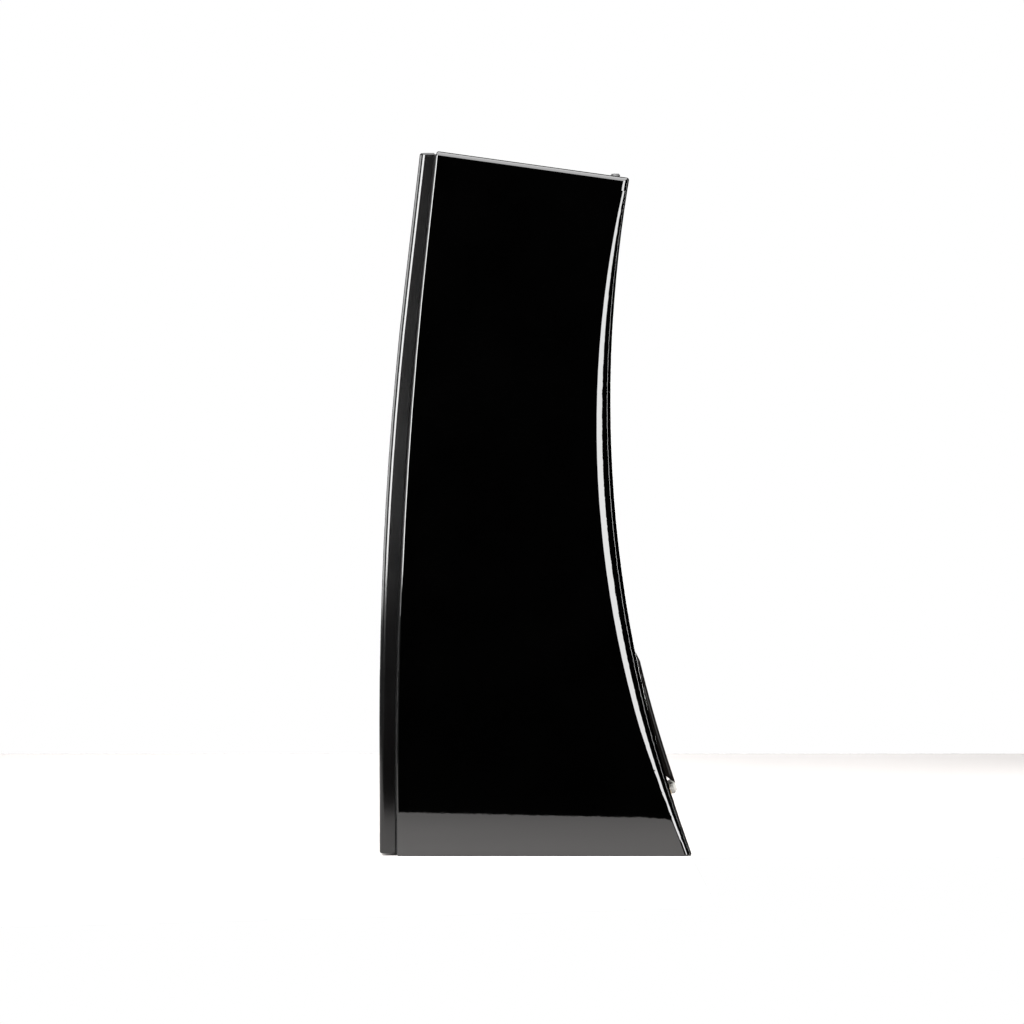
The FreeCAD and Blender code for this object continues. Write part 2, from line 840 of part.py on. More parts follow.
def make_trim_ring(name, d, frame):
    """The visible ring, which hides the flange and clamps the surround."""
    body = turned_body(
        name,
        [
            (d["opening"], d["trim_back"]),
            (d["trim"], d["trim_back"]),
            (d["trim"], d["face"] + " - 1"),
            (d["trim"] + " - 1", d["face"]),
            (d["trim"] + " - trim_face", d["face"]),
            (d["trim"] + " - trim_face - 1.5", d["face"] + " - 1"),
            (d["opening"], d["trim_back"] + " + 2"),
        ],
    )
    screw_pockets(body, name, d["screws"], d["bolt_ring"])
    body.Placement = frame
    piece(body, name)


def screw_pockets(body, name, count, ring):
    """Sunk holes for a ring of screws."""
    depth = "flush_depth + screw_head_thick + 0.6"
    round_pockets(body, name + "_heads", count, ring, "screw_head + screw_play", depth)
    screw_holes(body, name, count, ring)


def screw_holes(body, name, count, ring):
    """Clearance holes right through for a ring of screws."""
    round_pockets(body, name + "_holes", count, ring, "screw_radius + screw_play")


def round_pockets(body, name, count, ring, radius, depth=None):
    """Equal round pockets or holes in a ring."""
    pocket(body, name, lambda sketch: ring_of_circles(sketch, count, ring, radius), depth)


def make_basket(name, d, frame):
    """Cast frame: flange, windowed cone and the floor that the motor bolts to."""
    wall = "basket_wall"
    seat = "(%s + seat_reach)" % d["coil"]
    outside = seat + " + seat_step + " + wall
    body = turned_body(
        name,
        [
            (d["opening"] + " + 1", d["lip_back"]),
            (d["trim"] + " - 0.5", d["lip_back"]),
            (d["trim"] + " - 0.5", d["flange_back"]),
            (d["opening"] + " + 3", d["flange_back"]),
            (outside, d["floor"] + " + 7"),
            (outside, d["floor"] + " - " + wall),
            (d["coil"] + " + 4", d["floor"] + " - " + wall),
            (d["coil"] + " + 4", d["floor"]),
            (seat, d["floor"]),
            (seat, d["floor"] + " + 4"),
            (seat + " + seat_step", d["floor"] + " + 4"),
            (seat + " + seat_step", d["floor"] + " + 7"),
            (d["opening"], d["flange_back"] + " + 1"),
            (d["opening"] + " + 1", d["lip_back"] + " - 3"),
        ],
    )
    inner = outside + " + " + wall
    outer = d["opening"] + " - " + wall

    def windows(sketch):
        count = int(number("window_count"))
        for index in range(count):
            corners = []
            for reach, turn in ((inner, -1), (outer, -1), (outer, 1), (inner, 1)):
                swing = "window_turn_in" if reach == inner else "window_turn_out"
                angle = "((%d * 360 / window_count + %d * %s) * 1deg)" % (index, turn, swing)
                corners.append(("(%s) * cos(%s)" % (reach, angle), "(%s) * sin(%s)" % (reach, angle)))
            outline(sketch, corners)

    pocket(body, name + "_windows", windows)
    screw_holes(body, name, d["screws"], d["bolt_ring"])
    body.Placement = frame
    piece(body, name)


def make_motor(name, d, frame):
    """Ring magnet between a front plate and a yoke whose pole fills the coil."""
    top = d["plate_top"]
    below = "(%s - %s)" % (top, d["plate"])
    back = "(%s - %s)" % (below, d["magnet_thick"])
    hole = d["coil"] + " + magnet_bore"
    magnet = turned_body(
        name + "_magnet",
        [(hole, back), (d["magnet"], back), (d["magnet"], below), (hole, below)],
    )
    magnet.Placement = frame
    piece(magnet, name + "_magnet")
    gap = "(%s + coil_wall + coil_play)" % d["coil"]
    rim = d["magnet"] + " - plate_step"
    plate = turned_body(name + "_front_plate", [(gap, below), (rim, below), (rim, top), (gap, top)])
    pole = "(%s - coil_play)" % d["coil"]
    yoke = turned_body(
        name + "_yoke",
        [
            ("vent_radius", back + " - " + d["plate"]),
            (rim, back + " - " + d["plate"]),
            (rim, back),
            (pole, back),
            (pole, top),
            ("vent_radius", top),
        ],
    )
    plate.Placement = frame
    yoke.Placement = frame
    piece(together(name + "_motor_plates", [plate, yoke]), name + "_motor_plates")


def make_cone(name, d, frame, plug):
    """The moving parts: cone, cap and voice coil."""
    neck = d["neck"]
    skin = "skin"
    rim = d["lip_back"]
    sweep = "(%s) * cone_sweep" % d["edge"]
    cone = turned_body(
        name + "_cone",
        [
            (d["coil"] + " + coil_wall", neck + " - 1"),
            (d["coil"] + " + coil_wall + 2", neck + " - 1", sweep, 1),
            (d["edge"] + " - 1", rim + " - " + skin),
            (d["edge"] + " + 2", rim + " - " + skin),
            (d["edge"] + " + 2", rim),
            (d["edge"] + " - 2", rim, sweep, -1),
            (d["coil"] + " + coil_wall", neck + " + 1"),
        ],
    )
    cone.Placement = frame
    piece(cone, name + "_cone")
    coil = turned_body(
        name + "_voice_coil",
        [
            (d["coil"], d["plate_top"] + " - %s - 3" % d["plate"]),
            (d["coil"] + " + coil_wall", d["plate_top"] + " - %s - 3" % d["plate"]),
            (d["coil"] + " + coil_wall", neck + " + 1"),
            (d["coil"], neck + " + 1"),
        ],
    )
    coil.Placement = frame
    piece(coil, name + "_voice_coil")
    if plug:
        nose = "((%s - 3) * 1.05)" % d["coil"]
        cap = turned_body(
            name + "_phase_plug",
            [
                ("0", d["plate_top"]),
                (d["coil"] + " - 3", d["plate_top"]),
                (d["coil"] + " - 3", neck + " + 10", nose, -1),
                ("0", "%s + 10 + %s - sqrt((%s)^2 - (%s - 3)^2)" % (neck, nose, nose, d["coil"])),
            ],
        )
        cap.Placement = frame
        piece(cap, name + "_phase_plug")
        return
    reach = "(%s + cap_lap)" % d["coil"]
    foot = cone_height(d, reach)
    dome = "(%s * cap_swell)" % reach
    centre = "(%s - sqrt(%s^2 - %s^2))" % (foot, dome, reach)
    cap = turned_body(
        name + "_dust_cap",
        [
            (reach, foot, dome, -1),
            ("0", "%s + %s" % (centre, dome)),
            ("0", "%s + %s + skin" % (centre, dome), dome + " + skin", 1),
            (reach, "%s + sqrt((%s + skin)^2 - %s^2)" % (centre, dome, reach)),
        ],
    )
    cap.Placement = frame
    piece(cap, name + "_dust_cap")


def cone_height(d, reach):
    """Height of the cone's front skin at a radius, on its arc from the neck to the rim."""
    inner = number(d["coil"] + " + coil_wall")
    outer = number(d["edge"] + " - 2")
    low, high = number(d["neck"] + " + 1"), number(d["lip_back"])
    radius = number("(%s) * cone_sweep" % d["edge"])
    chord = FreeCAD.Vector(outer - inner, high - low, 0)
    swell = radius - math.sqrt(radius**2 - chord.Length**2 / 4)
    out = FreeCAD.Vector(-chord.y, chord.x, 0).normalize()
    centre = FreeCAD.Vector((inner + outer) / 2, (low + high) / 2, 0) + out * (swell - radius)
    across = number(reach) - centre.x
    return "%f" % (centre.y + math.sqrt(radius**2 - across**2) + 0.05)


def make_surround(name, d, frame):
    """Half roll of rubber from the cone's rim to the flange."""
    top, skin = d["trim_back"], "skin"
    body = turned_body(
        name + "_surround",
        [
            (d["edge"] + " - 4", d["lip_back"]),
            (d["edge"] + " + skin", d["lip_back"], "1.03 * (%s - skin)" % d["roll"], 1),
            (d["opening"] + " - skin", d["lip_back"]),
            (d["opening"] + " + 6", d["lip_back"]),
            (d["opening"] + " + 6", top),
            (d["opening"], top, "1.03 * " + d["roll"], -1),
            (d["edge"], top),
            (d["edge"] + " - 4", top),
        ],
    )
    body.Placement = frame
    piece(body, name + "_surround")


def make_spider(name, d, frame):
    """Corrugated disc that centres the voice coil."""
    inner = "(%s + coil_wall)" % d["coil"]
    outer = "(%s + spider_reach)" % d["coil"]
    low = "(%s + 4)" % d["floor"]
    waves = int(number("spider_waves"))
    under, over = [], []
    for step in range(waves + 1):
        across = "%s + (%s - %s) * %d / %d" % (inner, outer, inner, step, waves)
        lift = "spider_lift" if step % 2 else "0"
        under.append((across, "%s + %s" % (low, lift)))
        over.append((across, "%s + %s + skin" % (low, lift)))
    body = turned_body(name + "_spider", under + over[::-1])
    body.Placement = frame
    piece(body, name + "_spider")


def screw_set(name, count, ring, frame, head_top):
    """Socket-head screws round a driver."""
    screws = []
    for index in range(int(number(count))):
        angle = 2 * math.pi * index / number(count)
        across = (number(ring) * math.cos(angle), number(ring) * math.sin(angle))
        top = number(head_top)
        title = "%s_%d" % (name, index)
        under = top - number("screw_head_thick")
        head = rod(title + "_head", "screw_head", "screw_head_thick", frame, under, across)
        tip = top - number("screw_length")
        shank = rod(title + "_shank", "screw_radius", "screw_length", frame, tip, across)
        socket = document.addObject("Part::Prism", title + "_socket")
        socket.Polygon = 6
        bind(socket, Circumradius="screw_socket", Height="screw_socket_depth * 2")
        place = FreeCAD.Vector(across[0], across[1], top - number("screw_socket_depth"))
        socket.Placement = frame.multiply(FreeCAD.Placement(place, FreeCAD.Rotation()))
        screws.append(cut(title, joined(title + "_body", [head, shank]), socket))
    return screws


def driver_tools(name, d, frame):
    """What the front slab loses for a cone driver."""
    tools = [
        rod(name + "_seat", d["trim"] + " + fit_gap", "30", frame, number(d["flange_back"])),
        rod(name + "_bore", d["opening"] + " + 4", "bore_reach + 10", frame, -number("bore_reach")),
    ]
    return tools + pilot_holes(name, d["screws"], d["bolt_ring"], frame)


def pilot_holes(name, count, ring, frame):
    """Holes that a ring of screws runs in."""
    holes = []
    depth = "flush_depth + screw_length + 1"
    for index in range(int(number(count))):
        angle = 2 * math.pi * index / number(count)
        across = (number(ring) * math.cos(angle), number(ring) * math.sin(angle))
        title = "%s_pilot_%d" % (name, index)
        holes.append(rod(title, "screw_radius", depth, frame, -number(depth), across))
    return holes


def make_cone_driver(name, kind, height):
    """Build one cone driver and return the tools that make room for it."""
    d = driver_sizes(kind)
    frame = face_frame(height)
    make_trim_ring(name + "_trim_ring", d, frame)
    make_basket(name + "_basket", d, frame)
    make_motor(name, d, frame)
    make_surround(name, d, frame)
    make_spider(name, d, frame)
    make_cone(name, d, frame, plug=(kind == "midrange"))
    screws = screw_set(name + "_screw", d["screws"], d["bolt_ring"], frame, "-flush_depth - 0.4")
    return driver_tools(name, d, frame), screws


def make_tweeter():
    """Dome tweeter: faceplate with a shallow horn, dome, surround, coil, motor and rear chamber."""
    frame = face_frame("tweeter_height")
    throat = "(tweeter_dome + 4)"
    back = "(-flush_depth - tweeter_face_thick)"
    seat = "(-flush_depth - tweeter_face_thick + 3)"
    face = turned_body(
        "tweeter_faceplate",
        [
            (throat, back),
            ("tweeter_face", back),
            ("tweeter_face", "-flush_depth - 1"),
            ("tweeter_face - 1", "-flush_depth"),
            ("tweeter_mouth", "-flush_depth", "tweeter_horn", -1),
            (throat, seat + " + 1.5"),
        ],
    )
    ring = "tweeter_face - 8"
    screw_pockets(face, "tweeter", "tweeter_screws", ring)
    face.Placement = frame
    piece(face, "tweeter_faceplate")
    dome = "(tweeter_dome * 1.25)"
    centre = "(%s - sqrt(%s^2 - tweeter_dome^2))" % (back, dome)
    foot = "%s + sqrt((%s - dome_skin)^2 - tweeter_dome^2)" % (centre, dome)
    cap = turned_body(
        "tweeter_dome",
        [
            ("0", "%s + %s - dome_skin" % (centre, dome)),
            ("0", "%s + %s" % (centre, dome), dome, 1),
            ("tweeter_dome", back),
            ("tweeter_dome", foot, dome + " - dome_skin", -1),
        ],
    )
    cap.Placement = frame
    piece(cap, "tweeter_dome")
    coil = turned_body(
        "tweeter_voice_coil",
        [
            ("tweeter_dome - 0.8", back + " - 9"),
            ("tweeter_dome", back + " - 9"),
            ("tweeter_dome", foot),
            ("tweeter_dome - 0.8", foot),
        ],
    )
    coil.Placement = frame
    piece(coil, "tweeter_voice_coil")
    surround = turned_body(
        "tweeter_surround",
        [
            ("tweeter_dome", back + " - 0.5"),
            ("tweeter_dome + 3.4", back + " - 0.5"),
            ("tweeter_dome + 3.4", back, "1.8", -1),
            ("tweeter_dome", back),
        ],
    )
    surround.Placement = frame
    piece(surround, "tweeter_surround")
    front = back + " - 0.5"
    motor_back = "(%s - tweeter_motor_thick)" % front
    gap_floor = "(%s - 12)" % front
    motor = turned_body(
        "tweeter_motor",
        [
            ("3", motor_back),
            ("tweeter_motor", motor_back),
            ("tweeter_motor", front),
            ("tweeter_dome + 0.4", front),
            ("tweeter_dome + 0.4", gap_floor),
            ("tweeter_dome - 1.2", gap_floor),
            ("tweeter_dome - 1.2", front + " - 1"),
            ("3", front + " - 1"),
        ],
    )
    motor.Placement = frame
    piece(motor, "tweeter_motor")
    cup_back = "(%s - tweeter_chamber_thick)" % motor_back
    cup = turned_body(
        "tweeter_rear_chamber",
        [
            ("0", cup_back),
            ("tweeter_chamber", cup_back),
            ("tweeter_chamber", motor_back),
            ("tweeter_chamber - chamber_wall", motor_back),
            ("tweeter_chamber - chamber_wall", cup_back + " + chamber_wall"),
            ("0", cup_back + " + chamber_wall"),
        ],
    )
    cup.Placement = frame
    piece(cup, "tweeter_rear_chamber")
    tools = [
        rod("tweeter_seat", "tweeter_face + fit_gap", "30", frame, number(back)),
        rod("tweeter_bore", "tweeter_motor + 2", "bore_reach + 10", frame, -number("bore_reach")),
    ]
    screws = screw_set("tweeter_screw", "tweeter_screws", ring, frame, "-flush_depth - 0.4")
    return tools + pilot_holes("tweeter", "tweeter_screws", ring, frame), screws


# Rear fittings


def make_port():
    """Flared reflex tube, flush with the rear face."""
    frame = rear_frame("rear_waist")
    mouth = "(port_radius + port_flare)"
    front = "-0.8"
    body = turned_body(
        "port_tube",
        [
            ("port_radius", "-port_length"),
            ("port_radius + port_wall", "-port_length"),
            ("port_radius + port_wall", "-port_flare - port_flange_thick - 2"),
            (mouth + " - 4", "-port_flange_thick - 1"),
            ("port_flange", "-port_flange_thick - 1"),
            ("port_flange", front + " - 1"),
            ("port_flange - 1", front),
            (mouth, front, "port_flare", -1),
            ("port_radius", front + " - port_flare"),
        ],
    )
    body.Placement = frame
    piece(body, "port_tube")


def make_terminals():
    """Metal plate, two threaded posts with their collars, and the clamp washers and knobs on them.
    Each stud has stopped a little past square, where its thread came up tight."""
    frame = rear_frame("terminal_height")
    sizes = ("terminal_plate_width", "terminal_plate_tall", "terminal_plate_thick")
    plate = plate_box("terminal_plate_blank", *sizes, frame, -number("terminal_plate_thick"))
    spread = number("post_spread")
    holes, studs = [], []
    seat = "collar_thick + washer_thick"
    end = seat + " + knob_thick - stud_sunk"
    turn = FreeCAD.Rotation(FreeCAD.Vector(0, 0, 1), number("stud_turn"))
    for index, side in enumerate((1, -1), start=1):
        post = frame.multiply(FreeCAD.Placement(FreeCAD.Vector(side * spread, 0, 0), FreeCAD.Rotation()))
        holes.append(rod("post_hole_%d" % index, "post_radius", "20", post, -10))
        stud = turned_body(
            "terminal_stud_%d" % index,
            [
                ("0", "-stud_tail"),
                ("post_radius", "-stud_tail"),
                ("post_radius", "0"),
                ("collar_radius", "0"),
                ("collar_radius", "collar_thick"),
                ("post_radius", "collar_thick"),
                ("post_radius", end),
                ("socket_radius", end),
                ("socket_radius", end + " - socket_depth"),
                ("0", end + " - socket_depth"),
            ],
        )
        stud.Placement = post.multiply(FreeCAD.Placement(FreeCAD.Vector(), turn))
        studs.append(stud)
        washer = turned_body(
            "clamp_washer_%d" % index,
            [
                ("post_radius + washer_play", "collar_thick"),
                ("collar_radius - 0.5", "collar_thick"),
                ("collar_radius - 0.5", seat),
                ("post_radius + washer_play", seat),
            ],
        )
        washer.Placement = post
        piece(washer, "clamp_washer_%d" % index)
        make_knob("terminal_knob_%d" % index, post)
    for index, place in enumerate(plate_screw_places()):
        holes.append(rod("plate_screw_hole_%d" % index, "screw_radius", "20", frame, -10, place))
    piece(cut("terminal_plate", plate, joined("terminal_plate_holes", holes)), "terminal_plate")
    piece(together("terminal_studs", studs), "terminal_studs")


def make_knob(name, frame):
    """Fluted thumb nut, open at its end so that a plug reaches the stud."""
    base = "(collar_thick + washer_thick)"
    top = "(collar_thick + washer_thick + knob_thick)"
    body = turned_body(
        name,
        [
            ("post_radius + knob_play", base),
            ("knob_radius - 1", base),
            ("knob_radius", base + " + 1"),
            ("knob_radius", top + " - knob_bevel"),
            ("knob_radius - knob_bevel", top),
            ("post_radius + knob_play", top),
        ],
    )
    round_pockets(body, name + "_flutes", "knob_flutes", "knob_radius + flute_out", "flute_radius")
    body.Placement = frame
    piece(body, name)


def make_hood():
    """Shallow cover over the rear of the terminals, open at its lower end."""
    corners = [
        (rear_y("hood_top"), "hood_top", "rear_arc", -1),
        (rear_y("hood_bottom"), "hood_bottom"),
        (rear_y("hood_lip") + " + hood_proud", "hood_lip", "rear_arc", 1),
        (rear_y("hood_shoulder") + " + hood_thin", "hood_shoulder"),
    ]
    body = padded_body("hood_outer", corners, "hood_width")
    outer = number("hood_width / 2")
    rounded(
        body,
        "hood_sides",
        "hood_round",
        lambda edge: all(abs(abs(end.x) - outer) < 1e-3 for end in ends_of(edge))
        and abs(ends_of(edge)[0].x - ends_of(edge)[1].x) < 1e-3
        and all(end.y > number(rear_y("%f" % end.z)) + 1 for end in ends_of(edge)),
    )
    inner = padded_body(
        "hood_inner",
        [
            (rear_y("(hood_top - hood_land)") + " - 1", "hood_top - hood_land"),
            (rear_y("hood_bottom") + " - 1", "hood_bottom"),
            (rear_y("hood_lip") + " - 1", "hood_lip - hood_overrun"),
            (rear_y("hood_lip") + " + hood_proud - hood_wall + 1.5", "hood_lip - hood_overrun"),
            (rear_y("hood_shoulder") + " + hood_thin - hood_wall", "hood_shoulder - 4"),
        ],
        "hood_width - 2 * hood_wall",
    )
    piece(cut("terminal_hood", body, inner), "terminal_hood")


def cap_frame(side):
    """Upright frame of a cap: on the top near the rear edge, at the right (1) or left (-1)."""
    height = "top_height - (cap_place - top_front) * tan(top_slope * 1deg)"
    place = FreeCAD.Vector(side * number("cap_spread"), number("cap_place"), number(height))
    return FreeCAD.Placement(place, FreeCAD.Rotation())


def make_caps():
    """Blanking caps in the top panel, near its rear corners."""
    caps = []
    for side in (1, -1):
        cap = turned_body(
            "top_cap_%d" % (side + 2),
            [
                ("0", "-cap_depth"),
                ("cap_radius", "-cap_depth"),
                ("cap_radius", "cap_height - cap_round", "cap_round", 1),
                ("cap_radius - cap_round", "cap_height"),
                ("0", "cap_height"),
            ],
        )
        cap.Placement = cap_frame(side)
        caps.append(cap)
    piece(together("top_caps", caps), "top_caps")


# Crossover and wiring


def board_parts():
    """Places of the coils and capacitors on the board: (name, radius, height, x, y)."""
    return {
        "crossover_coils": [(27, 26, -36, -18), (24, 22, 46, -32), (16, 18, -10, 32)],
        "crossover_capacitors": [(15, 44, 54, 26), (12, 38, 24, 34), (12, 38, -62, 34), (10, 30, -36, 40)],
    }


def make_crossover():
    """Filter board on the floor panel, with its coils and capacitors."""
    place = FreeCAD.Vector(0, number("board_place") - number("board_deep / 2"), number("board_height"))
    board = block("board", "board_width", "board_deep", "board_thick", place)
    middle = FreeCAD.Placement(FreeCAD.Vector(0, number("board_place"), 0), FreeCAD.Rotation())
    parts = [board]
    tall = "board_height - bottom_thick"
    for index, (x, y) in enumerate(CORNERS):
        spot = (x * number("board_width / 2 - board_leg * 2"), y * number("board_deep / 2 - board_leg * 2"))
        parts.append(rod("board_leg_%d" % index, "board_leg", tall, middle, number("bottom_thick"), spot))
    piece(joined("crossover_board", parts), "crossover_board")
    top = number("board_height + board_thick")
    for node, parts in board_parts().items():
        solids = []
        for index, (radius, tall, *spot) in enumerate(parts):
            solid = rod("%s_%d" % (node, index), str(radius), str(tall), middle, top, spot)
            if node == "crossover_coils":
                core = rod("%s_core_%d" % (node, index), str(radius / 2), str(tall), middle, top, spot)
                solid = cut("%s_ring_%d" % (node, index), solid, core)
            solids.append(solid)
        piece(together(node, solids), node)


def cable(points, radius, bend):
    """A round cable through the points, with tangent bends."""
    edges = []
    start = points[0]
    for index in range(1, len(points) - 1):
        corner = points[index]
        into = (points[index - 1] - corner).normalize()
        out = (points[index + 1] - corner).normalize()
        half = into.getAngle(out) / 2
        back = bend / math.tan(half)
        first, last = corner + into * back, corner + out * back
        middle = corner + (into + out).normalize() * (bend / math.sin(half) - bend)
        edges.append(Part.LineSegment(start, first).toShape())
        edges.append(Part.Arc(first, middle, last).toShape())
        start = last
    edges.append(Part.LineSegment(start, points[-1]).toShape())
    route = Part.Wire(edges)
    way = (points[1] - points[0]).normalize()
    section = Part.Wire([Part.Circle(points[0], way, radius).toShape()])
    return route.makePipeShell([section], True, True)


def driver_end(kind, height):
    """Where a driver's cable meets it: a spoke of the basket, or the back of the tweeter's motor."""
    frame = face_frame(height)
    if kind == "tweeter":
        reach = number("(tweeter_motor + tweeter_chamber) / 2")
        depth = number("-flush_depth - tweeter_face_thick - dome_skin - tweeter_motor_thick") + 1
    else:
        sizes = driver_sizes(kind)
        inner = number(sizes["coil"] + " + seat_reach + seat_step + basket_wall")
        outer = number(sizes["opening"] + " + 3")
        low, high = number(sizes["floor"] + " + 7"), number(sizes["flange_back"])
        reach = number(sizes["magnet"]) + 10
        depth = low + (high - low) * (reach - inner) / (outer - inner) + 1
    spoke = math.radians(number("spoke_angle"))
    return frame.multVec(FreeCAD.Vector(reach * math.cos(spoke), reach * math.sin(spoke), depth))


def make_wiring():
    """Cables from the crossover to each driver, and from the terminals to the crossover."""
    radius, bend = number("wire_radius"), number("wire_bend")
    top = number("board_height + board_thick")
    cables = []
    for kind, height, shift in (
        ("woofer", "woofer_low_height", -9),
        ("woofer", "woofer_high_height", 9),
        ("midrange", "midrange_height", -2.6),
        ("tweeter", "tweeter_height", 2.6),
    ):
        end = driver_end(kind, height)
        x, y = -number("wire_side") + shift, number("wire_place")
        rise = FreeCAD.Vector(x, y, end.z)
        turn = FreeCAD.Vector(x, y - 60, end.z)
        if abs(end.x - x) < 3 * bend:
            points = [FreeCAD.Vector(x, y, top), rise, turn, end]
        else:
            across = FreeCAD.Vector(end.x, y, end.z)
            points = [FreeCAD.Vector(x, y, top), rise, across, end]
        cables.append(cable(points, radius, bend))
    frame = rear_frame("terminal_height")
    for side in (1, -1):
        landing = FreeCAD.Vector(side * 6, number("board_place") + 58, top)
        points = [
            frame.multVec(FreeCAD.Vector(side * number("post_spread"), 0, -number("stud_tail"))),
            frame.multVec(FreeCAD.Vector(side * number("post_spread"), 0, -60)),
            landing + FreeCAD.Vector(0, 0, 25),
            landing,
        ]
        cables.append(cable(points, radius, bend / 2))
    wiring = document.addObject("Part::Feature", "internal_wiring")
    wiring.Shape = Part.makeCompound(cables)
    piece(wiring, "internal_wiring")


def plate_screw_places():
    """Where the terminal plate's screws are, on the plate."""
    return [(x * number("plate_screw_x"), y * number("plate_screw_y")) for x, y in CORNERS]


def bolt_frames():
    """Frames of the bolts that hold the front slab on: Z points forward from the inner baffle's back."""
    frames = []
    for height in BOLT_HEIGHTS:
        for side in (1, -1):
            back = number(front_y("cabinet", height)) + number("wall_thick")
            place = FreeCAD.Vector(side * number("bolt_spread"), back, number(height))
            frames.append(FreeCAD.Placement(place, tipped(90 - front_lean("cabinet", height))))
    return frames


def make_case_screws():
    """Screws of the terminal plate, and the bolts that hold the front slab to the cabinet."""
    frame = rear_frame("terminal_height")
    screws = []
    for index, place in enumerate(plate_screw_places()):
        shank = rod("plate_screw_%d" % index, "screw_radius", "16", frame, -16, place)
        head = rod("plate_screw_head_%d" % index, "screw_head", "2", frame, 0, place)
        screws.append(joined("plate_screw_whole_%d" % index, [shank, head]))
    for index, frame in enumerate(bolt_frames()):
        shank = rod("bolt_%d" % index, "bolt_radius", "bolt_length", frame)
        head = rod("bolt_head_%d" % index, "bolt_radius * 1.7", "5", frame, -5)
        screws.append(joined("bolt_whole_%d" % index, [shank, head]))
    piece(together("case_screws", screws), "case_screws")


def build():
    """Make every sub-part of the speaker."""
    space = cavity()
    tools, screws = [], []
    for name, kind, height in (
        ("woofer_low", "woofer", "woofer_low_height"),
        ("woofer_high", "woofer", "woofer_high_height"),
        ("midrange", "midrange", "midrange_height"),
    ):
        more_tools, more_screws = make_cone_driver(name, kind, height)
        tools += more_tools
        screws += more_screws
    more_tools, more_screws = make_tweeter()
    bolts = []
    for index, frame in enumerate(bolt_frames()):
        bolts.append(rod("bolt_hole_%d" % index, "bolt_radius", "bolt_length", frame))
    cutters = joined("baffle_cutters", tools + more_tools + bolts)
    piece(together("driver_screws", screws + more_screws), "driver_screws")
    make_front_baffle(cutters)
    make_baffle_gasket(cutters)
    make_inner_baffle(cutters)
    make_side_panels()
    make_rear_panel()
    make_top_panel()
    make_bottom_panel()
    make_foot_inserts()
    make_shelves(space)
    make_lining()
    make_port()
    make_terminals()
    make_hood()
    make_case_screws()
    make_caps()
    make_crossover()
    make_wiring()


def save():
    """Check every object, then write each sub-part."""
    document.recompute()
    for thing in document.Objects:
        if "Invalid" in thing.State or "Error" in thing.State:
            raise ValueError("%s is %s" % (thing.Name, thing.State))
    os.makedirs("parts", exist_ok=True)
    for thing in pieces:
        if thing.Shape.isNull() or not thing.Shape.isValid():
            raise ValueError(thing.Label + " has no valid shape")
        thing.Shape.exportStep("parts/%s.step" % thing.Label)


build()
save()
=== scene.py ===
import json
import math

import bmesh
import bpy
from mathutils import Matrix, Vector, noise


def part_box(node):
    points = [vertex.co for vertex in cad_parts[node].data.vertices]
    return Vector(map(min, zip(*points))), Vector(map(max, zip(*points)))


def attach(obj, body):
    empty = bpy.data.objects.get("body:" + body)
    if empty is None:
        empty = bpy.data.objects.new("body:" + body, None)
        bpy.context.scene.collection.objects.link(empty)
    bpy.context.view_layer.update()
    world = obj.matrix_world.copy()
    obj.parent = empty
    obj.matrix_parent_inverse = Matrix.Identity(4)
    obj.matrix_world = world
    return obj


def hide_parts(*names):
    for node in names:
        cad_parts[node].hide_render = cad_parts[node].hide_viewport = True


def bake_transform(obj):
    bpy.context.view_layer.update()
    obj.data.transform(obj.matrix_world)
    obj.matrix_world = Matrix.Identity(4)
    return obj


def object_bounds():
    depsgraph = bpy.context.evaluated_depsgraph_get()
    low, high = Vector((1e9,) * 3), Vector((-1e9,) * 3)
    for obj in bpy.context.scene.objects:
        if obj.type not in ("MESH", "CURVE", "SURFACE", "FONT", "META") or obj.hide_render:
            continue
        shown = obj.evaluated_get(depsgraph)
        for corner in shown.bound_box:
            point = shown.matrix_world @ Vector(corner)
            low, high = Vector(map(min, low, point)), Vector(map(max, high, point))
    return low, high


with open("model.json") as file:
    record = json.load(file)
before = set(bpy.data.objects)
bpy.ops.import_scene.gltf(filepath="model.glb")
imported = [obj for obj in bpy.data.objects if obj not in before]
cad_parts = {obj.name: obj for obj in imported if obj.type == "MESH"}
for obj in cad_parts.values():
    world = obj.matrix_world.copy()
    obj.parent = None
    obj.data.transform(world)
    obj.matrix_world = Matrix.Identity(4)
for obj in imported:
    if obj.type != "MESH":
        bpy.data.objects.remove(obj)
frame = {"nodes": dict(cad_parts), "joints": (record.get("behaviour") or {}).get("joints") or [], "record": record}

CAD_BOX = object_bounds()
RIGHT_SIDE = CAD_BOX[1].x
RECORD = frame["record"]
JOINTS = {joint["name"]: joint for joint in frame["joints"]}
SCENE = bpy.context.scene


# Shader building


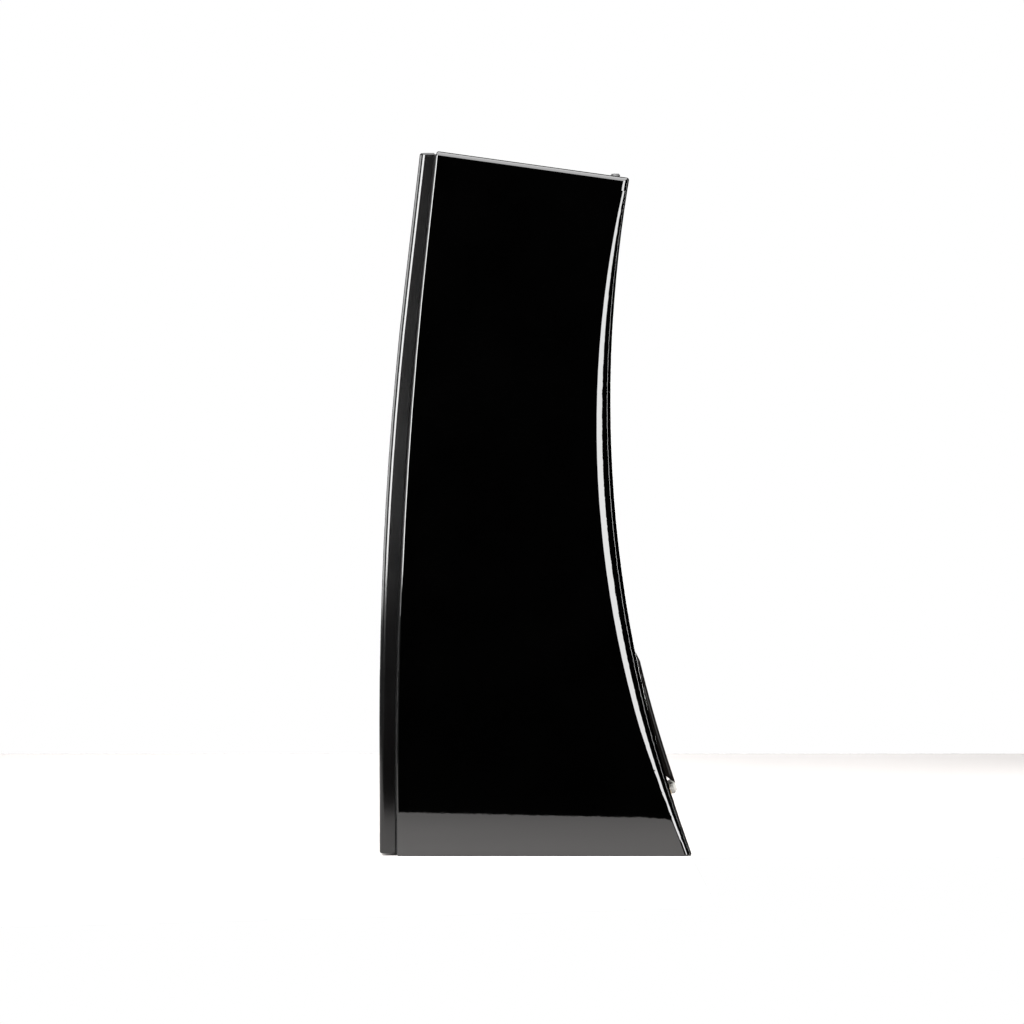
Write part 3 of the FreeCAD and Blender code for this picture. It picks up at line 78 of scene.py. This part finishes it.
class Shader:
    """A material's node tree, built with short calls."""

    def __init__(self, name):
        self.material = bpy.data.materials.new(name)
        self.material.use_nodes = True
        self.nodes = self.material.node_tree.nodes
        self.links = self.material.node_tree.links
        self.surface = self.nodes["Principled BSDF"]
        self.place = self.nodes.new("ShaderNodeTexCoord").outputs["Object"]

    def plug(self, value, socket):
        """Link an output to a socket, or set the socket to a plain value."""
        if isinstance(value, bpy.types.NodeSocket):
            self.links.new(value, socket)
        else:
            socket.default_value = value

    def set(self, **values):
        """Set sockets of the surface, such as base_color or sheen_weight."""
        for name, value in values.items():
            self.plug(value, self.surface.inputs[name.replace("_", " ").title().replace("Ior", "IOR")])
        return self

    def scaled(self, x, y, z):
        """Object coordinates, stretched or squeezed."""
        node = self.nodes.new("ShaderNodeMapping")
        self.links.new(self.place, node.inputs["Vector"])
        node.inputs["Scale"].default_value = (x, y, z)
        return node.outputs["Vector"]

    def noise(self, scale, detail=3, roughness=0.55, vector=None):
        """Cloudy noise. Scale is the number of clouds in a metre."""
        node = self.nodes.new("ShaderNodeTexNoise")
        self.links.new(vector or self.place, node.inputs["Vector"])
        node.inputs["Scale"].default_value = scale
        node.inputs["Detail"].default_value = detail
        node.inputs["Roughness"].default_value = roughness
        return node.outputs["Fac"]

    def wave(self, scale, distortion=0, direction="Z"):
        """Even bands across a direction."""
        node = self.nodes.new("ShaderNodeTexWave")
        self.links.new(self.place, node.inputs["Vector"])
        node.bands_direction = direction
        node.inputs["Scale"].default_value = scale
        node.inputs["Distortion"].default_value = distortion
        return node.outputs["Fac"]

    def cells(self, scale):
        """Pits or clumps: the distance from the middle of the nearest cell."""
        node = self.nodes.new("ShaderNodeTexVoronoi")
        self.links.new(self.place, node.inputs["Vector"])
        node.inputs["Scale"].default_value = scale
        return node.outputs["Distance"]

    def between(self, value, low, high, start=0.0, end=1.0):
        """Spread a value from start..end over low..high."""
        node = self.nodes.new("ShaderNodeMapRange")
        self.links.new(value, node.inputs["Value"])
        node.inputs["From Min"].default_value = start
        node.inputs["From Max"].default_value = end
        node.inputs["To Min"].default_value = low
        node.inputs["To Max"].default_value = high
        return node.outputs["Result"]

    def tint(self, value, first, second, start=0.3, end=0.7):
        """Colour from first to second as a value goes from start to end."""
        node = self.nodes.new("ShaderNodeValToRGB")
        self.links.new(value, node.inputs["Fac"])
        node.color_ramp.elements[0].position = start
        node.color_ramp.elements[1].position = end
        node.color_ramp.elements[0].color = (*first, 1)
        node.color_ramp.elements[1].color = (*second, 1)
        return node.outputs["Color"]

    def maths(self, operation, first, second):
        node = self.nodes.new("ShaderNodeMath")
        node.operation = operation
        self.plug(first, node.inputs[0])
        self.plug(second, node.inputs[1])
        return node.outputs["Value"]

    def bump(self, height, depth, strength):
        """Relief: depth is in metres for a height from 0 to 1."""
        node = self.nodes.new("ShaderNodeBump")
        self.links.new(height, node.inputs["Height"])
        node.inputs["Distance"].default_value = depth
        node.inputs["Strength"].default_value = strength
        previous = self.surface.inputs["Normal"]
        if previous.is_linked:
            self.links.new(previous.links[0].from_socket, node.inputs["Normal"])
        self.links.new(node.outputs["Normal"], previous)
        return self


# Materials


def darker(colour, share):
    """A share of a colour's brightness."""
    return tuple(c * share for c in colour)


def gloss_lacquer():
    """Deep black polished lacquer: a mirror with a faint orange peel and a little dust."""
    s = Shader("gloss_lacquer")
    peel = s.noise(160, detail=2)
    dust = s.noise(900, detail=2)
    smears = s.noise(7, detail=4)
    s.set(base_color=s.tint(smears, (0.00005, 0.00005, 0.00005), (0.00012, 0.00012, 0.00012)))
    s.set(roughness=s.between(s.maths("MULTIPLY", smears, dust), 0.010, 0.028, 0.1, 0.5))
    s.set(specular_ior_level=0.5)
    return s.bump(peel, 0.00002, 0.35).material


def satin_lacquer():
    """Black satin lacquer of the front slab, with the fine grain of sprayed paint."""
    s = Shader("satin_lacquer")
    grain = s.noise(1400, detail=2)
    cloud = s.noise(9, detail=4)
    s.set(base_color=s.tint(cloud, (0.0002, 0.00018, 0.00018), (0.0005, 0.00045, 0.00045)))
    s.set(roughness=s.between(cloud, 0.085, 0.115))
    s.set(specular_ior_level=0.3)
    return s.bump(grain, 0.000008, 0.3).material


def anodised(name, colour, rough):
    """Satin anodised metal with a very fine grain."""
    s = Shader(name)
    fine = s.noise(2500, detail=2)
    blush = s.noise(25, detail=3)
    s.set(base_color=s.tint(blush, darker(colour, 0.8), colour), metallic=1.0)
    s.set(roughness=s.between(fine, rough - 0.05, rough + 0.06))
    return s.bump(fine, 0.00002, 0.3).material


def turned_metal(name, colour, rough, rings):
    """Bright turned metal: rings of tool marks about an axis through the piece."""
    s = Shader(name)
    marks = s.noise(rings, detail=1, vector=s.scaled(0.05, 0.05, 1))
    blush = s.noise(60, detail=3)
    s.set(base_color=s.tint(blush, darker(colour, 0.88), colour), metallic=1.0)
    s.set(roughness=s.between(marks, rough - 0.04, rough + 0.08))
    return s.bump(marks, 0.00002, 0.4).material


def rubber(name, colour):
    """Matt rubber with a powdery bloom and fine pits."""
    s = Shader(name)
    pits = s.noise(1800, detail=3)
    bloom = s.noise(40, detail=4)
    light = tuple(c * 1.8 + 0.004 for c in colour)
    s.set(base_color=s.tint(bloom, colour, light))
    s.set(roughness=s.between(bloom, 0.55, 0.72), specular_ior_level=0.4)
    return s.bump(pits, 0.00006, 0.5).material


def coated_paper():
    """Pressed paper cone: felted fibres under a thin dark coating."""
    s = Shader("coated_paper")
    fibres = s.noise(420, detail=5, roughness=0.7)
    clumps = s.cells(260)
    patches = s.noise(30, detail=3)
    mottle = s.maths("MULTIPLY", fibres, patches)
    s.set(base_color=s.tint(mottle, (0.012, 0.012, 0.013), (0.034, 0.033, 0.034), 0.12, 0.42))
    s.set(roughness=s.between(fibres, 0.42, 0.62), sheen_weight=0.15, sheen_roughness=0.5)
    return s.bump(fibres, 0.00018, 0.6).bump(clumps, 0.00012, 0.3).material


def moulded_plastic(name, colour, rough=0.45):
    """Moulded plastic with a spark-eroded grain."""
    s = Shader(name)
    grain = s.cells(1500)
    flow = s.noise(18, detail=3)
    s.set(base_color=s.tint(flow, colour, tuple(c * 1.35 + 0.001 for c in colour)))
    s.set(roughness=s.between(flow, rough - 0.05, rough + 0.07), specular_ior_level=0.5)
    return s.bump(grain, 0.00005, 0.45).material


def hood_plastic():
    """Smooth, almost black plastic with a brown cast and a very fine grain."""
    s = Shader("hood_plastic")
    grain = s.noise(1500, detail=2)
    flow = s.noise(18, detail=3)
    s.set(base_color=s.tint(flow, (0.0006, 0.0004, 0.0003), (0.0012, 0.0008, 0.0006)))
    s.set(roughness=s.between(flow, 0.20, 0.26), specular_ior_level=0.06)
    return s.bump(grain, 0.00001, 0.4).material


def satin_nickel():
    """Blasted nickel of the terminal knobs, dull enough to look evenly grey."""
    s = Shader("satin_nickel")
    blast = s.noise(2200, detail=2)
    prints = s.noise(55, detail=4)
    s.set(base_color=s.tint(prints, (0.24, 0.235, 0.22), (0.29, 0.284, 0.268)), metallic=0.15)
    s.set(roughness=s.between(prints, 0.5, 0.62))
    return s.bump(blast, 0.00003, 0.4).material


def plated(name, colour, rough):
    """Plated metal, lightly brushed and handled."""
    s = Shader(name)
    brush = s.noise(700, detail=2, vector=s.scaled(1, 1, 0.06))
    prints = s.noise(55, detail=4)
    s.set(base_color=s.tint(prints, darker(colour, 0.86), colour), metallic=1.0)
    s.set(roughness=s.between(s.maths("ADD", brush, prints), rough - 0.05, rough + 0.1, 0.5, 1.5))
    return s.bump(brush, 0.00001, 0.3).material


def black_steel():
    """Blackened screws, worn to bare metal where a key has touched."""
    s = Shader("black_steel")
    wear = s.noise(500, detail=4)
    s.set(base_color=s.tint(wear, (0.014, 0.014, 0.015), (0.06, 0.06, 0.06), 0.55, 0.8), metallic=1.0)
    s.set(roughness=s.between(wear, 0.28, 0.5))
    return s.bump(wear, 0.00003, 0.3).material


def fibreboard():
    """Bare fibreboard with speckled fibres."""
    s = Shader("fibreboard")
    specks = s.noise(700, detail=4, roughness=0.7)
    s.set(base_color=s.tint(specks, (0.20, 0.12, 0.06), (0.36, 0.24, 0.14)))
    s.set(roughness=s.between(specks, 0.7, 0.9))
    return s.bump(specks, 0.0002, 0.5).material


def felt():
    """Grey needled felt."""
    s = Shader("felt")
    fibres = s.noise(350, detail=6, roughness=0.75)
    s.set(base_color=s.tint(fibres, (0.05, 0.05, 0.052), (0.20, 0.20, 0.21)))
    s.set(roughness=0.95, sheen_weight=0.4, sheen_roughness=0.6)
    return s.bump(fibres, 0.0015, 0.8).material


def dipped_cloth():
    """Amber resin-dipped weave of the spiders."""
    s = Shader("dipped_cloth")
    warp = s.wave(500, direction="X")
    weft = s.wave(500, direction="Z")
    weave = s.maths("MULTIPLY", warp, weft)
    s.set(base_color=s.tint(weave, (0.20, 0.10, 0.02), (0.50, 0.30, 0.08), 0.0, 1.0))
    s.set(roughness=s.between(weave, 0.55, 0.75))
    return s.bump(weave, 0.0002, 0.6).material


def ferrite():
    """Sintered magnet, dark and slightly glittering."""
    s = Shader("ferrite")
    grain = s.noise(900, detail=4)
    s.set(base_color=s.tint(grain, (0.02, 0.02, 0.022), (0.06, 0.06, 0.065)))
    s.set(roughness=s.between(grain, 0.4, 0.7))
    return s.bump(grain, 0.0001, 0.5).material


def wound_copper():
    """Enamelled copper windings, turn by turn."""
    s = Shader("wound_copper")
    turns = s.wave(350, distortion=0.4, direction="Z")
    s.set(base_color=s.tint(turns, (0.30, 0.10, 0.03), (0.72, 0.32, 0.13), 0.1, 0.9), metallic=0.9)
    s.set(roughness=s.between(turns, 0.25, 0.5))
    return s.bump(turns, 0.0003, 0.8).material


def circuit_board():
    """Green laminate over a woven glass cloth."""
    s = Shader("circuit_board")
    weave = s.maths("MULTIPLY", s.wave(600, direction="X"), s.wave(600, direction="Y"))
    s.set(base_color=s.tint(weave, (0.005, 0.06, 0.025), (0.012, 0.11, 0.05), 0.0, 1.0))
    s.set(roughness=s.between(weave, 0.3, 0.42))
    return s.bump(weave, 0.00003, 0.4).material


def wrapped_film():
    """Yellow tape round the film capacitors."""
    s = Shader("wrapped_film")
    layers = s.noise(260, detail=2, vector=s.scaled(0.2, 0.2, 3))
    s.set(base_color=s.tint(layers, (0.48, 0.30, 0.02), (0.66, 0.45, 0.06)))
    s.set(roughness=s.between(layers, 0.22, 0.38))
    return s.bump(layers, 0.00008, 0.5).material


def braided_sleeve():
    """Red woven sleeve of the inner cables."""
    s = Shader("braided_sleeve")
    braid = s.maths("MULTIPLY", s.wave(420, direction="X"), s.wave(420, direction="Z"))
    s.set(base_color=s.tint(braid, (0.12, 0.006, 0.005), (0.36, 0.02, 0.015), 0.0, 1.0))
    s.set(roughness=s.between(braid, 0.55, 0.7))
    return s.bump(braid, 0.0003, 0.8).material


def make_finishes():
    """One material for each of the record's material slots."""
    return {
        "gloss_lacquer": gloss_lacquer(),
        "satin_black": satin_lacquer(),
        "raw_board": fibreboard(),
        "seal": rubber("foam_seal", (0.010, 0.010, 0.010)),
        "felt": felt(),
        "trim": anodised("black_anodised", (0.045, 0.045, 0.048), 0.3),
        "basket": moulded_plastic("painted_casting", (0.012, 0.012, 0.013), 0.4),
        "magnet": ferrite(),
        "steel_plate": plated("zinc_plate", (0.56, 0.57, 0.60), 0.3),
        "surround": rubber("surround_rubber", (0.009, 0.009, 0.0095)),
        "spider": dipped_cloth(),
        "cone": coated_paper(),
        "cap": coated_paper(),
        "coil": wound_copper(),
        "plug": turned_metal("turned_plug", (0.62, 0.62, 0.64), 0.2, 900),
        "dome": anodised("satin_dome", (0.60, 0.60, 0.62), 0.26),
        "plastic": moulded_plastic("port_plastic", (0.010, 0.010, 0.011)),
        "hood": hood_plastic(),
        "plate": anodised("terminal_anodised", (0.04, 0.04, 0.042), 0.35),
        "brass": plated("gold_plate", (0.86, 0.62, 0.28), 0.18),
        "knob": satin_nickel(),
        "screw": black_steel(),
        "insert": plated("insert_zinc", (0.55, 0.56, 0.58), 0.34),
        "board": circuit_board(),
        "copper": wound_copper(),
        "capacitor": wrapped_film(),
        "wire": braided_sleeve(),
    }


def finish(thing, slot_name):
    """Give a piece one material."""
    thing.data.materials.clear()
    thing.data.materials.append(FINISHES[slot_name])


def finish_cad_nodes():
    """Give every CAD piece the material of its slot in the record."""
    for part in RECORD["subparts"]:
        finish(frame["nodes"][part["node"]], part["material_slot"])


# Mesh helpers


def shaded(name, points, faces):
    """A new smooth-shaded mesh object."""
    mesh = bpy.data.meshes.new(name)
    mesh.from_pydata(points, [], faces)
    mesh.update()
    thing = bpy.data.objects.new(name, mesh)
    SCENE.collection.objects.link(thing)
    mesh.shade_smooth()
    return thing


def turned(name, profile, place, span=(0.0, 360.0), steps=144):
    """Turn a closed profile of (radius, along) round a place's Z axis, all the way or over a span."""
    whole = span[1] - span[0] >= 360
    count = steps if whole else steps + 1
    points = []
    for step in range(count):
        angle = math.radians(span[0] + (span[1] - span[0]) * step / steps)
        for radius, along in profile:
            points.append(place @ Vector((radius * math.cos(angle), radius * math.sin(angle), along)))
    size = len(profile)
    faces = []
    for step in range(steps):
        here, there = step * size, (step + 1) % count * size
        for corner in range(size):
            after = (corner + 1) % size
            faces.append((here + corner, there + corner, there + after, here + after))
    if not whole:
        faces.append(tuple(range(size)))
        faces.append(tuple(range((count - 1) * size, count * size))[::-1])
    return shaded(name, points, faces)


def standing(origin, axis):
    """A place whose Z axis points along an axis and whose X axis stays level."""
    up = Vector(axis).normalized()
    across = Vector((1, 0, 0))
    matrix = Matrix((across, up.cross(across), up)).transposed().to_4x4()
    matrix.translation = origin
    return matrix


def arc(centre, radius, first, last, steps):
    """Points of an arc in the profile's plane, by angle in degrees."""
    spots = []
    for step in range(steps + 1):
        angle = math.radians(first + (last - first) * step / steps)
        spots.append((centre[0] + radius * math.cos(angle), centre[1] + radius * math.sin(angle)))
    return spots


def thickened(front, skin):
    """Close a front line of a profile with the same line set back along the axis."""
    return front + [(radius, along - skin) for radius, along in reversed(front)]


# Soft parts

TRIM_THICK = 0.008
FACEPLATE_THICK = 0.012
TRIM_GAP = 0.0001
RIM_UNDER_TRIM = 0.006
RIM_ON_CONE = 0.002

# Shares of a roll's skin, and of its height, that keep its edges tucked in
ROLL_LOWERED = 0.3
LAP_SET_BACK = 0.1


def disc_place(node, joint, shift=0.0):
    """A place in the middle of a round node, or moved along the joint's axis from there."""
    low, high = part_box(node)
    axis = Vector(JOINTS[joint]["axis"])
    return standing((low + high) / 2 + axis * shift, axis)


def own_piece(thing, slot_name):
    """Finish a new piece with the material of a slot."""
    finish(thing, slot_name)
    return thing


def make_roll(name, place, outer_radius, inner_radius, clamp, lap, skin):
    """A half roll in two pieces: the outer half is attached to the cabinet, and the inner half is a free piece
    lapping the cone's edge.
    """
    middle = (outer_radius + inner_radius) / 2
    crown = (outer_radius - inner_radius) / 2 - skin * ROLL_LOWERED
    outer_line = [(outer_radius + clamp, 0)] + arc((middle, 0), crown, 0, 90, 16)
    inner_line = arc((middle, 0), crown, 90, 180, 16) + [(inner_radius - lap, -skin * LAP_SET_BACK)]
    outer = own_piece(turned(name + "_roll_outer", thickened(outer_line, skin), place), "surround")
    inner = own_piece(turned(name + "_roll_inner", thickened(inner_line, skin), place), "surround")
    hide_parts(name + "_surround")
    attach(outer, "cabinet")
    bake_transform(inner)


def make_spider(name, count=8, waves=6, steps=8, skin=0.0008, depth=0.0012):
    """A corrugated disc in sectors."""
    place = disc_place(name + "_spider", name + "_travel")
    outer_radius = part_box(name + "_spider")[1].x
    inner_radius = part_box(name + "_voice_coil")[1].x
    line = []
    for step in range(waves * steps + 1):
        share = step / (waves * steps)
        radius = inner_radius + (outer_radius - inner_radius) * share
        line.append((radius, depth * math.cos(math.pi * waves * share)))
    width = 360 / count
    for index in range(count):
        span = (index * width, (index + 1) * width)
        title = f"{name}_spider_{index + 1}"
        sector = own_piece(turned(title, thickened(line, skin), place, span, steps=12), "spider")
        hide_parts(name + "_spider")
        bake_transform(sector)


def make_surrounds():
    """Rolls and spiders of the cone drivers, and the dome's small roll."""
    for name in ("woofer_low", "woofer_high", "midrange"):
        place = disc_place(name + "_trim_ring", name + "_travel", -TRIM_THICK / 2 - TRIM_GAP)
        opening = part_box(name + "_surround")[1].x - RIM_UNDER_TRIM
        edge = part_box(name + "_cone")[1].x - RIM_ON_CONE
        make_roll(name, place, opening, edge, clamp=0.005, lap=0.0036, skin=0.0009)
        make_spider(name)
    place = disc_place("tweeter_faceplate", "tweeter_travel", -FACEPLATE_THICK / 2)
    reach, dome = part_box("tweeter_surround")[1].x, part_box("tweeter_dome")[1].x
    make_roll("tweeter", place, reach, dome, clamp=0, lap=0.0003, skin=0.0003)


def make_felts(corners_each=24, cuts=26, ragged=0.0022, lumps=90, edge_power=30, edge_pull=4):
    """Needled felt slabs: soft edges and an uneven face, inside the space of the plain ones.

    Ragged is how far the face sinks, lumps is the number of lumps in a metre, and edge_power and
    edge_pull say how sharply and how far the edges draw in."""
    points = [vertex.co.copy() for vertex in frame["nodes"]["damping_felt"].data.vertices]
    for first in range(0, len(points), corners_each):
        block = points[first : first + corners_each]
        low = Vector(min(p[axis] for p in block) for axis in range(3))
        high = Vector(max(p[axis] for p in block) for axis in range(3))
        slab = bmesh.new()
        bmesh.ops.create_cube(slab, size=1)
        bmesh.ops.subdivide_edges(slab, edges=slab.edges, cuts=cuts, use_grid_fill=True)
        centre, size = (low + high) / 2, high - low
        for vertex in slab.verts:
            edge = [abs(c) * 2 for c in vertex.co]
            spot = Vector(vertex.co[a] * size[a] for a in range(3))
            soft = ragged * (0.5 + 0.5 * noise.noise(spot * lumps))
            place = Vector(vertex.co[a] * (size[a] - 2 * soft) for a in range(3))
            corner = sorted(edge)[1] ** edge_power * ragged
            vertex.co = centre + place * (1 - corner / max(size) * edge_pull)
        mesh = bpy.data.meshes.new("felt")
        slab.to_mesh(mesh)
        slab.free()
        mesh.shade_smooth()
        thing = bpy.data.objects.new(f"felt_{first // corners_each + 1}", mesh)
        SCENE.collection.objects.link(thing)
        own_piece(thing, "felt")
        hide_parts("damping_felt")
        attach(thing, "cabinet")


# Studio

# Metres, but the lens and the sensor are in millimetres
CAMERA_DISTANCE = 6.0
CAMERA_ACROSS = -0.0401
CAMERA_HEIGHT = 0.5857
CAMERA_LENS = 124.08
CAMERA_SENSOR = 36
CAMERA_SEES = 100

# The world's grey towards the front, and how far round a direction has to point for it
WORLD_GREY = 0.3
GREY_FROM, GREY_FULL = -0.2, -0.7

# The floor's edges. On the camera's side it reaches furthest at the front, narrows to FLOOR_REACH
# from the cabinet at the rear, and ends there in a rounded corner, at FLOOR_END.
FLOOR_LEFT = -2.4
FLOOR_HALF = 2.6
FLOOR_FRONT_REACH = 1.46
FLOOR_REACH = 0.77
FLOOR_END = 0.262
FLOOR_CORNER = 0.08
# How far past the side the floor's painted shade reaches full grey
FLOOR_FADE = 0.8


def make_camera():
    """Level camera, square to the right side, as high as the middle of the cabinet."""
    camera = bpy.data.objects.new("camera", bpy.data.cameras.new("camera"))
    camera.data.lens = CAMERA_LENS
    camera.data.sensor_width = CAMERA_SENSOR
    camera.data.clip_end = CAMERA_SEES
    camera.location = (RIGHT_SIDE + CAMERA_DISTANCE, CAMERA_ACROSS, CAMERA_HEIGHT)
    camera.rotation_euler = (math.radians(90), 0, math.radians(90))
    SCENE.collection.objects.link(camera)
    SCENE.camera = camera


def softbox(name, radiance, width, height, place, target):
    """A rectangle of even light that faces a target, and that the camera doesn't see."""
    lamp = bpy.data.lights.new(name, "AREA")
    lamp.shape = "RECTANGLE"
    lamp.size = width
    lamp.size_y = height
    lamp.energy = radiance * math.pi * width * height
    thing = bpy.data.objects.new(name, lamp)
    thing.location = place
    thing.rotation_euler = (Vector(target) - Vector(place)).to_track_quat("-Z", "Y").to_euler()
    thing.visible_camera = False
    SCENE.collection.objects.link(thing)
    return thing


def side_softbox(name, radiance, bearings, heights, reach=4.0):
    """An upright softbox between two bearings, in degrees from +X towards +Y, and two heights."""
    middle_height = sum(heights) / 2
    ends = [Vector((math.cos(math.radians(a)), math.sin(math.radians(a)), 0)) * reach for a in bearings]
    middle = (ends[0] + ends[1]) / 2 + Vector((0, 0, middle_height))
    width = (ends[0] - ends[1]).length
    return softbox(name, radiance, width, heights[1] - heights[0], middle, (0, 0, middle.z))


def make_lights():
    """Large softboxes that the edges mirror as stripes, and dim ones that show the far sides."""
    side_softbox("softbox_rear", 19, bearings=(12.5, 43), heights=(0.2, 3.2))
    side_softbox("strip_rear", 24, bearings=(94, 95.5), heights=(0.0, 2.6))
    side_softbox("softbox_front", 38, bearings=(-40, -8), heights=(0.45, 3.0))
    softbox("softbox_top", 10, width=4.1, height=3.6, place=(1.55, 0, 3.0), target=(1.55, 0, 0))
    side_softbox("fill_front", 10, bearings=(-115, -72), heights=(0.42, 2.4), reach=5.0)
    side_softbox("fill_left", 5, bearings=(165, 200), heights=(0.1, 1.15), reach=5.0)


def make_world():
    """White to the camera. To the object it is a dim grey in front and dark elsewhere."""
    world = bpy.data.worlds.new("studio")
    world.use_nodes = True
    nodes, links = world.node_tree.nodes, world.node_tree.links
    nodes.clear()
    place = nodes.new("ShaderNodeTexCoord")
    split = nodes.new("ShaderNodeSeparateXYZ")
    spread = nodes.new("ShaderNodeMapRange")
    spread.inputs["From Min"].default_value = GREY_FROM
    spread.inputs["From Max"].default_value = GREY_FULL
    spread.inputs["To Min"].default_value = 0.0
    spread.inputs["To Max"].default_value = WORLD_GREY
    seen = nodes.new("ShaderNodeLightPath")
    blend = nodes.new("ShaderNodeMix")
    blend.data_type = "RGBA"
    dark, white, mixed = blend.inputs[6], blend.inputs[7], blend.outputs[2]
    light = nodes.new("ShaderNodeBackground")
    out = nodes.new("ShaderNodeOutputWorld")
    links.new(place.outputs["Generated"], split.inputs[0])
    links.new(split.outputs["Y"], spread.inputs["Value"])
    links.new(seen.outputs["Is Camera Ray"], blend.inputs["Factor"])
    links.new(spread.outputs["Result"], dark)
    white.default_value = (1, 1, 1, 1)
    links.new(mixed, light.inputs["Color"])
    links.new(light.outputs[0], out.inputs["Surface"])
    SCENE.world = world


def studio_floor():
    """Pale warm paint with a faint unevenness, and painted shade: greyer towards the edge on the camera's side, a
    painted falloff of light that the gloss side mirrors.
    """
    s = Shader("studio_floor")
    split = s.nodes.new("ShaderNodeSeparateXYZ")
    s.links.new(s.place, split.inputs[0])
    cloud = s.noise(3, detail=4)
    # Painted shade: the floor greys from the cabinet's side outwards over FLOOR_FADE, standing in for light
    # falling off, mixed with a faint random mottle
    painted_falloff = s.between(split.outputs["X"], 0, 0.9, RIGHT_SIDE, RIGHT_SIDE + FLOOR_FADE)
    falloff_shade_and_mottle = s.maths("ADD", painted_falloff, s.maths("MULTIPLY", cloud, 0.1))
    s.set(base_color=s.tint(falloff_shade_and_mottle, (0.53, 0.51, 0.50), (0.27, 0.26, 0.255), 0.05, 0.95))
    s.set(roughness=s.between(cloud, 0.75, 0.85), specular_ior_level=0.2)
    return s.material


def make_floor():
    """Plain pale floor. It ends a little past the camera's side, with one rounded corner,
    so that the gloss stays dark above it."""
    centre = (RIGHT_SIDE + FLOOR_REACH - FLOOR_CORNER, FLOOR_END - FLOOR_CORNER)
    outline = [(FLOOR_LEFT, -FLOOR_HALF), (RIGHT_SIDE + FLOOR_FRONT_REACH, -FLOOR_HALF)]
    outline += arc(centre, FLOOR_CORNER, 8, 90, 12)
    outline += [(RIGHT_SIDE, FLOOR_END), (RIGHT_SIDE, FLOOR_HALF), (FLOOR_LEFT, FLOOR_HALF)]
    floor = shaded("studio_floor", [(x, y, 0) for x, y in outline], [tuple(range(len(outline)))])
    floor.location.z = CAD_BOX[0].z
    floor.data.materials.append(studio_floor())


FINISHES = make_finishes()
finish_cad_nodes()
make_surrounds()
make_felts()
make_camera()
make_lights()
make_world()
make_floor()
SCENE.view_settings.view_transform = "Standard"
SCENE.view_settings.look = "None"
